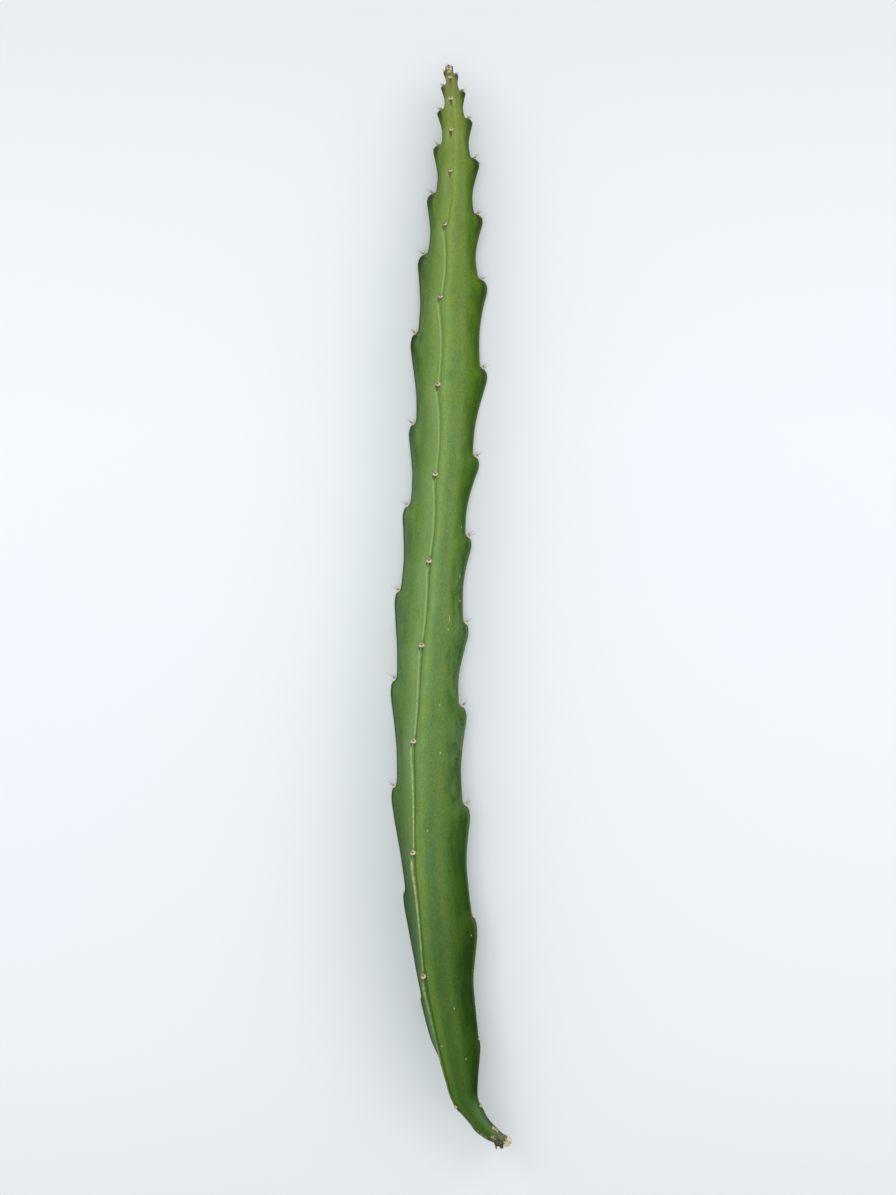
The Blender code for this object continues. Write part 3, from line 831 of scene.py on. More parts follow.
class Tree:
    """A node tree, for a material or for geometry, that is written as expressions."""

    def __init__(self, tree):
        self.tree = tree

    def node(self, kind, settings=None, inputs=None):
        """Adds a node, makes its settings, then fills its sockets, which are named or numbered."""
        made = self.tree.nodes.new(kind)
        for key, value in (settings or {}).items():
            if key == "stops":
                set_stops(made.color_ramp, value)
            else:
                setattr(made, key, value)
        for key, value in (inputs or {}).items():
            for source in value if isinstance(value, list) else [value]:
                source = source.socket if isinstance(source, Number) else source
                if isinstance(source, bpy.types.NodeSocket):
                    self.tree.links.new(source, made.inputs[key])
                elif made.inputs[key].type == "RGBA":
                    made.inputs[key].default_value = (*source, 1.0)
                else:
                    made.inputs[key].default_value = source
        return made

    def math(self, operation, *values):
        made = self.node("ShaderNodeMath", {"operation": operation}, dict(enumerate(values)))
        return Number(self, made.outputs[0])

    def vector(self, operation, *values, scale=None):
        inputs = dict(enumerate(values))
        if scale is not None:
            inputs["Scale"] = scale
        return self.node("ShaderNodeVectorMath", {"operation": operation}, inputs).outputs[0]

    def parts(self, vector):
        """A vector's three numbers."""
        made = self.node("ShaderNodeSeparateXYZ", inputs={0: vector})
        return [Number(self, socket) for socket in made.outputs]

    def joined(self, x, y, z):
        return self.node("ShaderNodeCombineXYZ", inputs={0: x, 1: y, 2: z}).outputs[0]

    def fade(self, value, start, end):
        """0 up to the start and 1 from the end on, and smooth between them."""
        made = self.node(
            "ShaderNodeMapRange",
            {"interpolation_type": "SMOOTHSTEP"},
            {"Value": value, "From Min": start, "From Max": end},
        )
        return Number(self, made.outputs[0])

    def mask(self, name, value):
        """How far this value is on its way through the fade of this name."""
        return self.fade(value, *FADES[name])

    def near(self, value, middle, width):
        """1 at the middle, and 0 from that width away from it."""
        return self.fade((value - middle).math("ABSOLUTE"), width, 0.0)

    def point_value(self, name):
        """A number that the piece's points carry."""
        return Number(self, self.node("ShaderNodeAttribute", {"attribute_name": name}).outputs["Fac"])

    def point_vector(self, name):
        return self.node("ShaderNodeAttribute", {"attribute_name": name}).outputs["Vector"]

    def place(self, stretch=(1.0, 1.0, 1.0)):
        """The place on the object in millimetres, stretched."""
        coords = self.node("ShaderNodeTexCoord").outputs["Object"]
        return self.vector("MULTIPLY", coords, tuple(value / MM for value in stretch))

    def noise(self, where, size, detail, roughness):
        """Clouds of about this size, around 0.5."""
        inputs = {"Vector": where, "Scale": 1.0 / size, "Detail": detail, "Roughness": roughness}
        return Number(self, self.node("ShaderNodeTexNoise", {}, inputs).outputs[0])

    def grain(self, name, where=None):
        """The clouds or grain of this name, on the object where no other place is given."""
        return self.noise(self.place() if where is None else where, *GRAINS[name])

    def cells(self, where, size):
        """The distance from the nearest of points that are scattered about this far apart."""
        inputs = {"Vector": where, "Scale": 1.0 / size}
        return Number(self, self.node("ShaderNodeTexVoronoi", {}, inputs).outputs["Distance"])

    def distance(self, first, second):
        inputs = {0: first, 1: second}
        made = self.node("ShaderNodeVectorMath", {"operation": "DISTANCE"}, inputs)
        return Number(self, made.outputs["Value"])

    def ramp(self, value, stops):
        return self.node("ShaderNodeValToRGB", {"stops": stops}, {0: value}).outputs[0]

    def screen_ramp(self, value, table, whole=1.0):
        """A ramp of colours as they look on a screen, by their places out of a whole."""
        return self.ramp(value, [(place / whole, screen(look)) for place, look in table])

    def mix(self, share, first, second, blend="MIX"):
        """The first colour, with this share of the second one mixed in."""
        settings = {"data_type": "RGBA", "blend_type": blend}
        inputs = {0: share, MIX_FIRST: first, MIX_SECOND: second}
        return self.node("ShaderNodeMix", settings, inputs).outputs[MIX_RESULT]

    def paint(self, share, colour, look):
        """The colour, with this share of one as it looks on a screen painted over it."""
        return self.mix(share, colour, screen(look))

    def tint(self, share, colour, change):
        """The colour, with its red, green and blue changed by this share of a change."""
        return self.mix(share, colour, change, "MULTIPLY")

    def bump(self, height):
        """A surface's normal, tilted by this height in millimetres."""
        return self.node("ShaderNodeBump", {}, {"Height": height, "Distance": MM}).outputs[0]


def set_stops(ramp, stops):
    ramp.elements.remove(ramp.elements[1])
    ramp.elements[0].position = stops[0][0]
    for place, _ in stops[1:]:
        ramp.elements.new(place)
    for element, (_, colour) in zip(ramp.elements, stops):
        element.color = (*colour, 1.0)


def screen(look):
    """A colour that looks like this on a screen, as the share of each light that it gives back.

    The numbers are those of the sRGB curve.
    """
    values = np.array(look) / 255
    light = np.where(values <= 0.04045, values / 12.92, ((values + 0.055) / 1.055) ** 2.4)
    return tuple(light.tolist())


def material_tree(name):
    material = bpy.data.materials.new(name)
    material.use_nodes = True
    material.node_tree.nodes.clear()
    return material, Tree(material.node_tree)


def finish_material(tree, colour, roughness, shine, height):
    """Ends a material in one shader. The height is its relief in millimetres."""
    inputs = {
        "Base Color": colour,
        "Roughness": roughness,
        "Specular IOR Level": shine,
        "Normal": tree.bump(height),
    }
    shader = tree.node("ShaderNodeBsdfPrincipled", {}, inputs)
    tree.node("ShaderNodeOutputMaterial", {}, {"Surface": shader.outputs[0]})


def finish_plainly(tree, colour, grain, finish, hollows=0.0):
    """Ends a material whose grain also makes its relief, less the depth of its hollows."""
    roughness, change, shine, relief = finish
    finish_material(tree, colour, roughness + grain * change, shine, grain * relief - hollows)


def geometry_tree(name, counts, sizes):
    """A new group of geometry nodes, with inputs of these names for whole numbers and for sizes.

    Returns its tree and the inputs' sockets.
    """
    group = bpy.data.node_groups.new(name, "GeometryNodeTree")
    group.interface.new_socket("Geometry", in_out="INPUT", socket_type="NodeSocketGeometry")
    group.interface.new_socket("Geometry", in_out="OUTPUT", socket_type="NodeSocketGeometry")
    for labels, kind in ((counts, "NodeSocketInt"), (sizes, "NodeSocketFloat")):
        for label in labels:
            group.interface.new_socket(label, in_out="INPUT", socket_type=kind)
    tree = Tree(group)
    return tree, tree.node("NodeGroupInput").outputs


def finish_geometry(tree, geometry, material):
    """Ends a group of geometry nodes in plain, smooth, painted geometry."""
    plain = tree.node("GeometryNodeRealizeInstances", {}, {"Geometry": geometry}).outputs[0]
    smooth = tree.node("GeometryNodeSetShadeSmooth", {}, {"Geometry": plain}).outputs[0]
    painted = tree.node("GeometryNodeSetMaterial", {}, {"Geometry": smooth, "Material": material})
    tree.node("NodeGroupOutput", {}, {"Geometry": painted.outputs[0]})


def grow(thing, tree, values):
    """Gives an object the plain mesh that a group of geometry nodes makes of it, with these inputs."""
    modifier = thing.modifiers.new("growth", "NODES")
    modifier.node_group = tree.tree
    for item in tree.tree.interface.items_tree:
        if item.name in values:
            modifier[item.identifier] = values[item.name]
    seen = thing.evaluated_get(bpy.context.evaluated_depsgraph_get())
    mesh = bpy.data.meshes.new_from_object(seen)
    thing.modifiers.remove(modifier)
    mesh.name = thing.name
    thing.data = mesh
    return thing


def relief_tree(material):
    """Nodes that draw the skin in by a fraction of a millimetre, in soft uneven dents."""
    tree, given = geometry_tree("skin_relief", (), ("Depth", "Size"))
    where = tree.node("GeometryNodeInputPosition").outputs[0]
    normal = tree.node("GeometryNodeInputNormal").outputs[0]
    scale = tree.math("DIVIDE", 1.0, given["Size"])
    clouds = tree.node("ShaderNodeTexNoise", {}, {"Vector": where, "Scale": scale, "Detail": 2.0}).outputs[0]
    offset = tree.vector("SCALE", normal, scale=tree.math("MULTIPLY", clouds, given["Depth"]) * -1.0)
    drawn = tree.node("GeometryNodeSetPosition", {}, {"Geometry": given["Geometry"], "Offset": offset})
    finish_geometry(tree, drawn.outputs[0], material)
    return tree


def spike_tree(material):
    """Nodes that stand a bent, tapering spike on each point of a mesh, as the point's values say.

    The values are its aim, the way that its broad side faces, and its half width, half thickness and
    length. Its own points carry their rise, from 0 at the foot to 1 at the tip.
    """
    tree, given = geometry_tree("spikes", ("Sides", "Segments"), ("Tip share", "Bend"))
    sizes = {
        "Vertices": given["Sides"],
        "Side Segments": given["Segments"],
        "Radius Top": given["Tip share"],
        "Radius Bottom": 1.0,
        "Depth": 1.0,
    }
    cone = tree.node("GeometryNodeMeshCone", {"fill_type": "NGON"}, sizes).outputs[0]
    rise = tree.parts(tree.node("GeometryNodeInputPosition").outputs[0])[2]
    offset = tree.joined(0.0, rise * rise * given["Bend"], 0.0)
    bent = tree.node("GeometryNodeSetPosition", {}, {"Geometry": cone, "Offset": offset}).outputs[0]
    marked = tree.node(
        "GeometryNodeStoreNamedAttribute",
        {"data_type": "FLOAT", "domain": "POINT"},
        {"Geometry": bent, "Name": "rise", "Value": rise},
    )
    kind, settings = "GeometryNodeInputNamedAttribute", {"data_type": "FLOAT_VECTOR"}
    aim, facing, size = (
        tree.node(kind, settings, {"Name": name}).outputs[0] for name in ("aim", "facing", "size")
    )
    upright = tree.node("FunctionNodeAlignRotationToVector", {"axis": "Z"}, {"Vector": aim}).outputs[0]
    turned = tree.node(
        "FunctionNodeAlignRotationToVector",
        {"axis": "Y", "pivot_axis": "Z"},
        {"Rotation": upright, "Vector": facing},
    )
    spikes = tree.node(
        "GeometryNodeInstanceOnPoints",
        {},
        {
            "Points": given["Geometry"],
            "Instance": marked.outputs[0],
            "Rotation": turned.outputs[0],
            "Scale": size,
        },
    )
    finish_geometry(tree, spikes.outputs[0], material)
    return tree


def coat_tree(name, material, bit_kind, bit_settings, bit_sizes):
    """Nodes that strew copies of a small form over a mesh, with random aims round its normals.

    Their lengths are random too, and they are as thick as they are long where no thickness is given.
    """
    tree, given = geometry_tree(name, ("Seed",), ("Density", "Thickness", "Shortest", "Longest"))
    surface, seed = given["Geometry"], given["Seed"]
    strewn = tree.node(
        "GeometryNodeDistributePointsOnFaces",
        {},
        {"Mesh": surface, "Density": given["Density"], "Seed": seed},
    )
    wander = tree.node(
        "FunctionNodeRandomValue",
        {"data_type": "FLOAT_VECTOR"},
        {0: (-1.0, -1.0, -1.0), 1: (1.0, 1.0, 1.0), "Seed": seed},
    )
    aim = tree.vector("ADD", strewn.outputs["Normal"], wander.outputs[0])
    rotation = tree.node("FunctionNodeAlignRotationToVector", {"axis": "Z"}, {"Vector": aim}).outputs[0]
    length = tree.node(
        "FunctionNodeRandomValue",
        {"data_type": "FLOAT"},
        {2: given["Shortest"], 3: given["Longest"], "Seed": seed},
    ).outputs[1]
    thin = tree.math("GREATER_THAN", given["Thickness"], 0.0)
    thickness = thin * given["Thickness"] + (1.0 - thin) * length
    bits = tree.node(
        "GeometryNodeInstanceOnPoints",
        {},
        {
            "Points": strewn.outputs["Points"],
            "Instance": tree.node(bit_kind, bit_settings, bit_sizes).outputs[0],
            "Rotation": rotation,
            "Scale": tree.joined(thickness, thickness, length),
        },
    )
    both = tree.node("GeometryNodeJoinGeometry", {}, {0: [surface, bits.outputs[0]]})
    finish_geometry(tree, both.outputs[0], material)
    return tree


def wool_tree(material):
    """Nodes that cover a cushion with short, thin, three-sided hairs."""
    sizes = {"Vertices": 3, "Radius Top": WOOL_TIP_SHARE, "Radius Bottom": 1.0, "Depth": 1.0}
    return coat_tree("wool", material, "GeometryNodeMeshCone", {"fill_type": "NGON"}, sizes)


def granule_tree(material):
    """Nodes that cover a lump with rounded grains."""
    sizes = {"Radius": 1.0, "Subdivisions": 2}
    return coat_tree("granules", material, "GeometryNodeMeshIcoSphere", {}, sizes)


def crowded(steps, crowding):
    """Shares from 0 to 1 that lie closer together near both ends."""
    even = np.linspace(0.0, 1.0, steps + 1)
    return even - crowding * np.sin(2 * np.pi * even) / (2 * np.pi)


def ring_levels(stem):
    """The rings' places counted in areoles: 2.5 is halfway from each rib's third areole to its fourth."""
    levels = []
    for level in range(-1, AREOLES_PER_RIB):
        room = np.mean([marks[level + 2] - marks[level + 1] for marks in stem.marks])
        steps = max(FEWEST_RINGS, round(room / RING_ROOM))
        levels.append(level + crowded(steps, RING_CROWDING)[:-1])
    return np.append(np.concatenate(levels), AREOLES_PER_RIB)


def make_skin(stem, material):
    """The stem's skin, with what its material reads at each point.

    That is where it is on a straight round stem, its level counted in areoles, the room from its areoles
    to the next ones, its side of the nearest rib, and how far it is from that rib's crest, in millimetres
    and in half widths of the crest's band.
    """
    levels = ring_levels(stem)
    counts = np.arange(-1, AREOLES_PER_RIB + 1)
    lobes = np.clip(np.floor(levels).astype(int) + 1, 0, AREOLES_PER_RIB)
    stations = [np.interp(levels, counts, marks) for marks in stem.marks]
    lengths = [np.diff(marks)[lobes] for marks in stem.marks]
    crests = [stem.crest_point(rib, stations[rib]) for rib in range(3)]
    half_widths = [stem.band_half_width(rib, stations[rib]) for rib in range(3)]
    columns, turns, sides, places, rooms = [], [], [], [], []
    for rib in range(3):
        here, beyond = stations[rib], stations[(rib + 1) % 3]
        for offset in BAND_OFFSETS:
            columns.append(stem.crest_point(rib, here, offset))
            turns.append(rib + BAND_TURN * offset)
            sides.append(offset)
            places.append(here)
            rooms.append(lengths[rib])
        for share in crowded(FACE_POINTS, FACE_CROWDING)[:-1]:
            slide = smooth_step(share)
            place = here * (1 - slide) + beyond * slide
            columns.append(stem.point(rib, share, place))
            turns.append(rib + BAND_TURN + share * (1 - 2 * BAND_TURN))
            sides.append(1 - 2 * share)
            places.append(place)
            rooms.append(lengths[rib] * (1 - slide) + lengths[(rib + 1) % 3] * slide)
    rings = np.stack(columns, axis=1)
    rings[..., 2] = np.maximum(rings[..., 2], 0.0)

    gaps = np.stack([np.linalg.norm(rings - crest[:, None], axis=-1) for crest in crests])
    bands = gaps / np.stack(half_widths)[:, :, None]
    angle = np.array(turns) * 2 * np.pi / 3
    place = np.stack(places, axis=1)
    unrolled = np.stack(
        [np.cos(angle) * UNROLLED_RADIUS + place * 0, np.sin(angle) * UNROLLED_RADIUS + place * 0, place],
        axis=-1,
    )
    down = stem.at(stem.forward, np.array([0.0, stem.length]))
    ends = stem.at(stem.path, np.array([0.0, stem.length]))
    first_pole, last_pole = ends[0] - down[0] * TIP_BULGE, ends[1] + down[1] * CUT_BULGE

    def with_poles(values, first, last):
        return np.concatenate([values.reshape(-1, *np.shape(first)), [first, last]])

    shape = Shape()
    shape.add_loft(
        rings,
        first_pole,
        last_pole,
        unrolled=with_poles(unrolled, (0.0, 0.0, 0.0), (0.0, 0.0, stem.length)),
        level=with_poles(levels[:, None] + place * 0, -1.0, float(AREOLES_PER_RIB)),
        side=with_poles(np.array(sides) + place * 0, 0.0, 0.0),
        room=with_poles(np.stack(rooms, axis=1), FEWEST_ROOM, FEWEST_ROOM),
        rim=with_poles(gaps.min(axis=0), UNROLLED_RADIUS, UNROLLED_RADIUS),
        band=with_poles(bands.min(axis=0), UNROLLED_RADIUS, UNROLLED_RADIUS),
    )
    skin = shape.build("stem_skin")
    return grow(skin, relief_tree(material), {"Depth": SWELL_HEIGHT * MM, "Size": SWELL_SIZE * MM})


def areole_places(stem):
    """Every areole of the stem, from the tip down each rib in turn."""
    areoles = []
    for rib in range(3):
        marks = np.append(stem.areoles[rib], stem.length)
        stations = marks[:-1] + SHOULDER_GAP[rib]
        out, across = stem.rib_vectors(rib, stations)
        to_tip = -stem.axes(stations)[0]
        feet = stem.at(stem.path, stations) + out * stem.reach(rib, stations)[:, None]
        leaf_gaps = smooth_curve(LEAF_GAP, RIBS[rib].areoles)
        leaf_feet = stem.crest_point(rib, marks[:-1] + leaf_gaps)
        radii = smooth_curve(AREOLE_RADIUS, RIBS[rib].areoles)
        for number, along in enumerate(RIBS[rib].areoles):
            vectors = (line[number] for line in (feet, leaf_feet, out, across, to_tip, radii))
            areoles.append(Areole(rib, number, along, *vectors))
    return areoles


def press(thing):
    """Draws what would reach below the floor up above it, and keeps its order of heights."""
    mesh = thing.data
    points = np.empty(len(mesh.vertices) * 3)
    mesh.vertices.foreach_get("co", points)
    height = points[2::3] / (PRESSED_HEIGHT * MM)
    points[2::3] = np.where(height < 1.0, np.exp(height - 1.0), height) * PRESSED_HEIGHT * MM
    mesh.vertices.foreach_set("co", points)
    mesh.update()
    return thing


def coat_values(per_mm2, lengths, thickness=0.0):
    """The inputs of a coat's nodes. Without a thickness its bits are as thick as they are long."""
    return {
        "Density": per_mm2 / MM**2,
        "Thickness": thickness * MM,
        "Shortest": lengths[0] * MM,
        "Longest": lengths[1] * MM,
        "Seed": SEED,
    }


def make_wool(areoles, material):
    """The woolly cushions: raised rims, open towards the base, round a brown middle."""
    shape = Shape()
    angles = np.linspace(0.0, 2 * np.pi, PAD_SIDES, endpoint=False)
    for areole in areoles:
        if areole.along > BARE_FROM:
            continue
        facing = unit(areole.out + areole.to_tip * PAD_TILT)
        brown = smooth_curve(PAD_WARM_OLD, areole.along)
        if areole.rib:
            brown = brown + smooth_curve(PAD_WARM_SIDE, areole.along)
        to_base = np.cross(facing, areole.across)
        opening = np.maximum(0.0, -np.sin(angles)) ** 2
        rings, warm = [], []
        for share in PAD_RINGS:
            rim = np.exp(-(((share - PAD_RIM) / PAD_RIM_WIDTH) ** 2)) * (1 - PAD_OPENING * opening)
            fall = math.sqrt(max(0.0, 1 - (share / PAD_EDGE) ** 4))
            height = (PAD_FLOOR_SHARE + (1 - PAD_FLOOR_SHARE) * rim) * fall
            flat = areole.across * np.cos(angles)[:, None] - to_base * np.sin(angles)[:, None]
            lift = facing * (height * CUSHION_HEIGHT_SHARE)[:, None]
            rings.append(areole.foot + (flat * share + lift) * areole.radius)
            middle = brown + 1 - smooth_step((share - PAD_WARM_START) / PAD_WARM_FALL)
            warm.append(np.clip(middle + opening * PAD_WARM_OPENING, 0.0, 1.0))
        top = areole.foot + facing * PAD_FLOOR_SHARE * CUSHION_HEIGHT_SHARE * areole.radius
        bottom = areole.foot - facing * PAD_SUNK * areole.radius
        shape.add_loft(rings, top, bottom, warm=np.concatenate([*warm, [1.0, 0.0]]))
    pads = shape.build("areole_cushions")
    return press(grow(pads, wool_tree(material), coat_values(WOOL_PER_MM2, WOOL_LENGTHS, WOOL_RADIUS)))


def make_spikes(name, spikes, tree, values):
    """One piece of spikes, each a foot, an aim, the way its broad side faces and its three sizes."""
    feet, aims, facings, sizes = (np.array(part, float) for part in zip(*spikes))
    shape = Shape()
    shape.add(feet, aim=aims, facing=facings, size=sizes * MM)
    return grow(shape.build(name), tree, values)


def spine_list(areoles):
    """The three spines of each areole, then its finer ones."""
    chance, fine_chance = random.Random(SEED), random.Random(SEED + 1)
    spines = []
    for areole in areoles:
        grown = float(smooth_curve(SPINE_LENGTH, areole.along))
        drawn = []
        for spread in SPINE_SPREAD:
            fan = spread + chance.uniform(-SPINE_SPREAD_JITTER, SPINE_SPREAD_JITTER)
            lean = SPINE_LEAN_TO_TIP + chance.uniform(-SPINE_LEAN_JITTER, SPINE_LEAN_JITTER)
            drawn.append((fan, lean, grown * chance.uniform(*SPINE_LENGTH_SHARES), SPINE_RADIUS))
        for _ in range(FINE_SPINES):
            fan = fine_chance.uniform(-FINE_SPINE_SPREAD, FINE_SPINE_SPREAD)
            lean = fine_chance.uniform(0.0, FINE_SPINE_SPREAD)
            length = grown * FINE_SPINE_LENGTH * fine_chance.uniform(*SPINE_LENGTH_SHARES)
            drawn.append((fan, lean, length, SPINE_RADIUS * FINE_SPINE_LENGTH))
        if areole.along > SPINELESS_FROM[areole.rib]:
            continue
        for fan, lean, length, radius in drawn:
            fan, lean = math.radians(fan), math.radians(lean)
            level = areole.out * math.cos(fan) + areole.across * math.sin(fan)
            direction = level * math.cos(lean) + areole.to_tip * math.sin(lean)
            foot = areole.foot - direction * SPINE_ROOT
            tip = areole.foot + direction * (length + areole.radius * SPINE_RISE_SHARE)
            foot[2], tip[2] = max(foot[2], SPINE_CLEARANCE), max(tip[2], SPINE_CLEARANCE)
            size = (radius, radius, float(np.linalg.norm(tip - foot)))
            spines.append((foot, unit(tip - foot), areole.to_tip, size))
    return spines


def leaf_list(areoles):
    """The dry scale leaf on the shoulder of each young areole."""
    leaves = []
    for areole in areoles:
        if areole.number >= LEAFY_AREOLES[areole.rib]:
            continue
        foot = areole.leaf_foot - areole.out * LEAF_SUNK
        aim = unit(areole.to_tip + areole.out * LEAF_LEAN)
        size = (
            float(smooth_curve(LEAF_HALF_WIDTH, areole.along)),
            LEAF_THICKNESS / 2,
            float(smooth_curve(LEAF_LENGTH, areole.along)),
        )
        leaves.append((foot, aim, areole.out, size))
    return leaves


def tooth_list():
    """The brown teeth round the growing tip's wool."""
    teeth = []
    for along, across, height, lean, length in CROWN_TEETH:
        lean = math.radians(lean)
        aim = (math.sin(lean), math.cos(lean), 0.0)
        size = (TOOTH_RADIUS, TOOTH_RADIUS * TOOTH_THINNESS, length)
        teeth.append((to_frame(along, across, height), aim, (0.0, 0.0, 1.0), size))
    return teeth


def add_turned(shape, foot, tip, profile, dents, **looks):
    """A dented turned form. Its profile is the radius by the share of the way from its foot to its tip."""
    foot, tip = np.array(foot, float), np.array(tip, float)
    axis = unit(tip - foot)
    side = unit(np.cross(axis, OFF_AXIS))
    up = np.cross(axis, side)
    angles = np.linspace(0.0, 2 * np.pi, TURNED_SIDES, endpoint=False)[:, None]
    rings = []
    for share in crowded(TURNED_STEPS, TURNED_CROWDING)[1:-1]:
        centre = foot + (tip - foot) * share
        radius = float(smooth_curve(profile, share))
        points = centre + (side * np.cos(angles) + up * np.sin(angles)) * radius
        depths = [noise.fractal(Vector(point / DENT_SIZE), *DENT_LAYERS) for point in points]
        shrunk = 1 - dents * np.clip(np.array(depths)[:, None] + 0.5, 0.0, 1.0)
        rings.append(centre + (points - centre) * shrunk)
    count = len(rings) * TURNED_SIDES + 2
    shape.add_loft(rings, foot, tip, **{name: np.full(count, value) for name, value in looks.items()})


def add_ball(shape, centre, radii, facing, dents, **looks):
    """A dented ball, drawn out by its second radius along the way that it faces."""
    reach = unit(facing) * radii[1]
    turns = np.linspace(0.0, np.pi, BALL_STEPS + 1)
    profile = [((1 - math.cos(turn)) / 2, radii[0] * math.sin(turn)) for turn in turns]
    add_turned(shape, centre - reach, centre + reach, profile, dents, **looks)


def make_crown(material):
    """The felted wool of the growing tip."""
    shape = Shape()
    for *place, radius, half_height, warmth in CROWN:
        add_ball(shape, to_frame(*place), (radius, half_height), (0.0, 0.0, 1.0), CROWN_DENTS, warm=warmth)
    values = coat_values(WOOL_PER_MM2, CROWN_WOOL_LENGTHS, WOOL_RADIUS)
    return grow(shape.build("tip_wool"), wool_tree(material), values)


def make_knob(material):
    """The pale granular callus that has grown over the cut."""
    shape = Shape()
    *place, radius = KNOB
    add_ball(shape, to_frame(*place), (radius, radius), KNOB_FACING, KNOB_DENTS, tone=KNOB_TONE)
    values = coat_values(GRANULES_PER_MM2, GRANULE_SIZES)
    return grow(shape.build("cut_callus"), granule_tree(material), values)


def make_base_bark(stem, material):
    """The corky scabs on the neck and the dry ends beside the callus."""
    shape = Shape()
    for station, turn, radius, tone in SCABS:
        turn = math.radians(turn)
        _, side, up = stem.axes(station)
        out = up * math.cos(turn) - side * math.sin(turn)
        centre = stem.at(stem.path, station) + out * (stem.reach(0, station) - SCAB_DEPTH)
        add_ball(shape, centre, (radius, radius * SCAB_FLATNESS), out, SCAB_DENTS, tone=tone)
    for foot, tip, foot_radius, tip_radius, tone in DRY_ENDS:
        profile = [(0.0, foot_radius), *((share, tip_radius * width) for share, width in STUB_PROFILE)]
        add_turned(shape, to_frame(*foot), to_frame(*tip), profile, STUB_DENTS, tone=tone)
    bark = shape.build("base_bark", material)
    bark.data.shade_smooth()
    return bark


class SkinMap:
    """What the skin's material reads at each place, and the clouds and masks that its markings share."""

    def __init__(self, tree):
        self.tree = tree
        self.unrolled = tree.point_vector("unrolled")
        x, y, self.station = tree.parts(self.unrolled)
        self.turn = (tree.math("ARCTAN2", y, x) / math.tau).math("FRACT") * 3.0
        self.lobe = tree.point_value("level").math("FRACT")
        self.room = tree.point_value("room")
        self.below = self.lobe * self.room
        self.above = self.room - self.below
        self.rim = tree.point_value("rim")
        self.band = tree.point_value("band")
        self.across = self.band * tree.point_value("side").math("SIGN")
        self.side_rib = 1.0 - tree.mask("front rib", x / UNROLLED_RADIUS)
        self.clouds, self.fine_clouds, self.grain, self.blotches, self.streaks = (
            tree.noise(self.drawn_out(share), *look) for share, *look in SKIN_CLOUDS
        )

    def drawn_out(self, share):
        """The place on the unrolled stem, with its length counted at this share."""
        return self.tree.vector("MULTIPLY", self.unrolled, (1.0, 1.0, share))

    def part(self, name):
        """1 where this marking is along the stem, and 0 before and past it."""
        mask = 1.0
        for start, end in PARTS[name]:
            mask = self.tree.fade(self.station, start, end) * mask
        return mask

    def round(self, name):
        """1 where this band runs along the stem, and 0 beside it."""
        return self.tree.near(self.turn, *TURNS[name])

    def line(self, name):
        """1 on this line along the crests, and 0 beside it."""
        return self.tree.near(self.across, *LINES[name])


def face_colour(tree, skin):
    """The faces' greens, from the young tip to the old base, with their stripes and clouds, and painted
    light.
    """
    # The greens round the stem hold painted shade on the right margin and a painted sheen on the left one
    colour = tree.screen_ramp(skin.turn / 3.0, SKIN_ROUND_WITH_PAINTED_LIGHT, 3.0)
    share = skin.station / STEM_LENGTH
    left_face = tree.mask("left face's start", skin.turn) * tree.mask("left face's end", skin.turn)
    left_face = left_face * skin.part("left face")
    # Painted light: a falloff towards the base, and a lighter left face where it turns to the light
    along = tree.mix(left_face, tree.ramp(share, SKIN_ALONG_WITH_FALLOFF), tree.ramp(share, LEFT_ALONG_LIT))
    colour = tree.tint(1.0, colour, along)
    # The right face's stripes are partly a painted soft reflection in its hollow
    colour = tree.tint(skin.part("stripes"), colour, tree.ramp(skin.turn - 2.0, STRIPES_AND_SHEEN))
    neck = skin.part("green neck") * skin.round("green neck")
    colour = tree.paint(neck * COVER["green neck"], colour, NECK_GREEN)
    for clouds, cover in ((skin.streaks, COVER["streaks"]), (skin.blotches, COVER["blotches"])):
        colour = tree.tint(tree.mask("yellower", clouds) * cover, colour, SKIN_YELLOWER)
        colour = tree.tint(tree.mask("bluer", clouds) * cover, colour, SKIN_BLUER)
    colour = tree.tint(tree.mask("clouds", skin.clouds) * COVER["clouds"], colour, SKIN_DARKER)
    for clouds, cover in ((skin.fine_clouds, COVER["fine clouds"]), (skin.grain, COVER["grain"])):
        colour = tree.tint(tree.mask("dark grain", clouds) * cover, colour, SKIN_DARKER)
        colour = tree.tint(tree.mask("light grain", clouds) * cover, colour, SKIN_LIGHTER)
    brown = skin.part("brown tip") * tree.mask("brown tip", skin.fine_clouds)
    return tree.paint(brown * COVER["brown tip"], colour, YOUNG_BROWN)


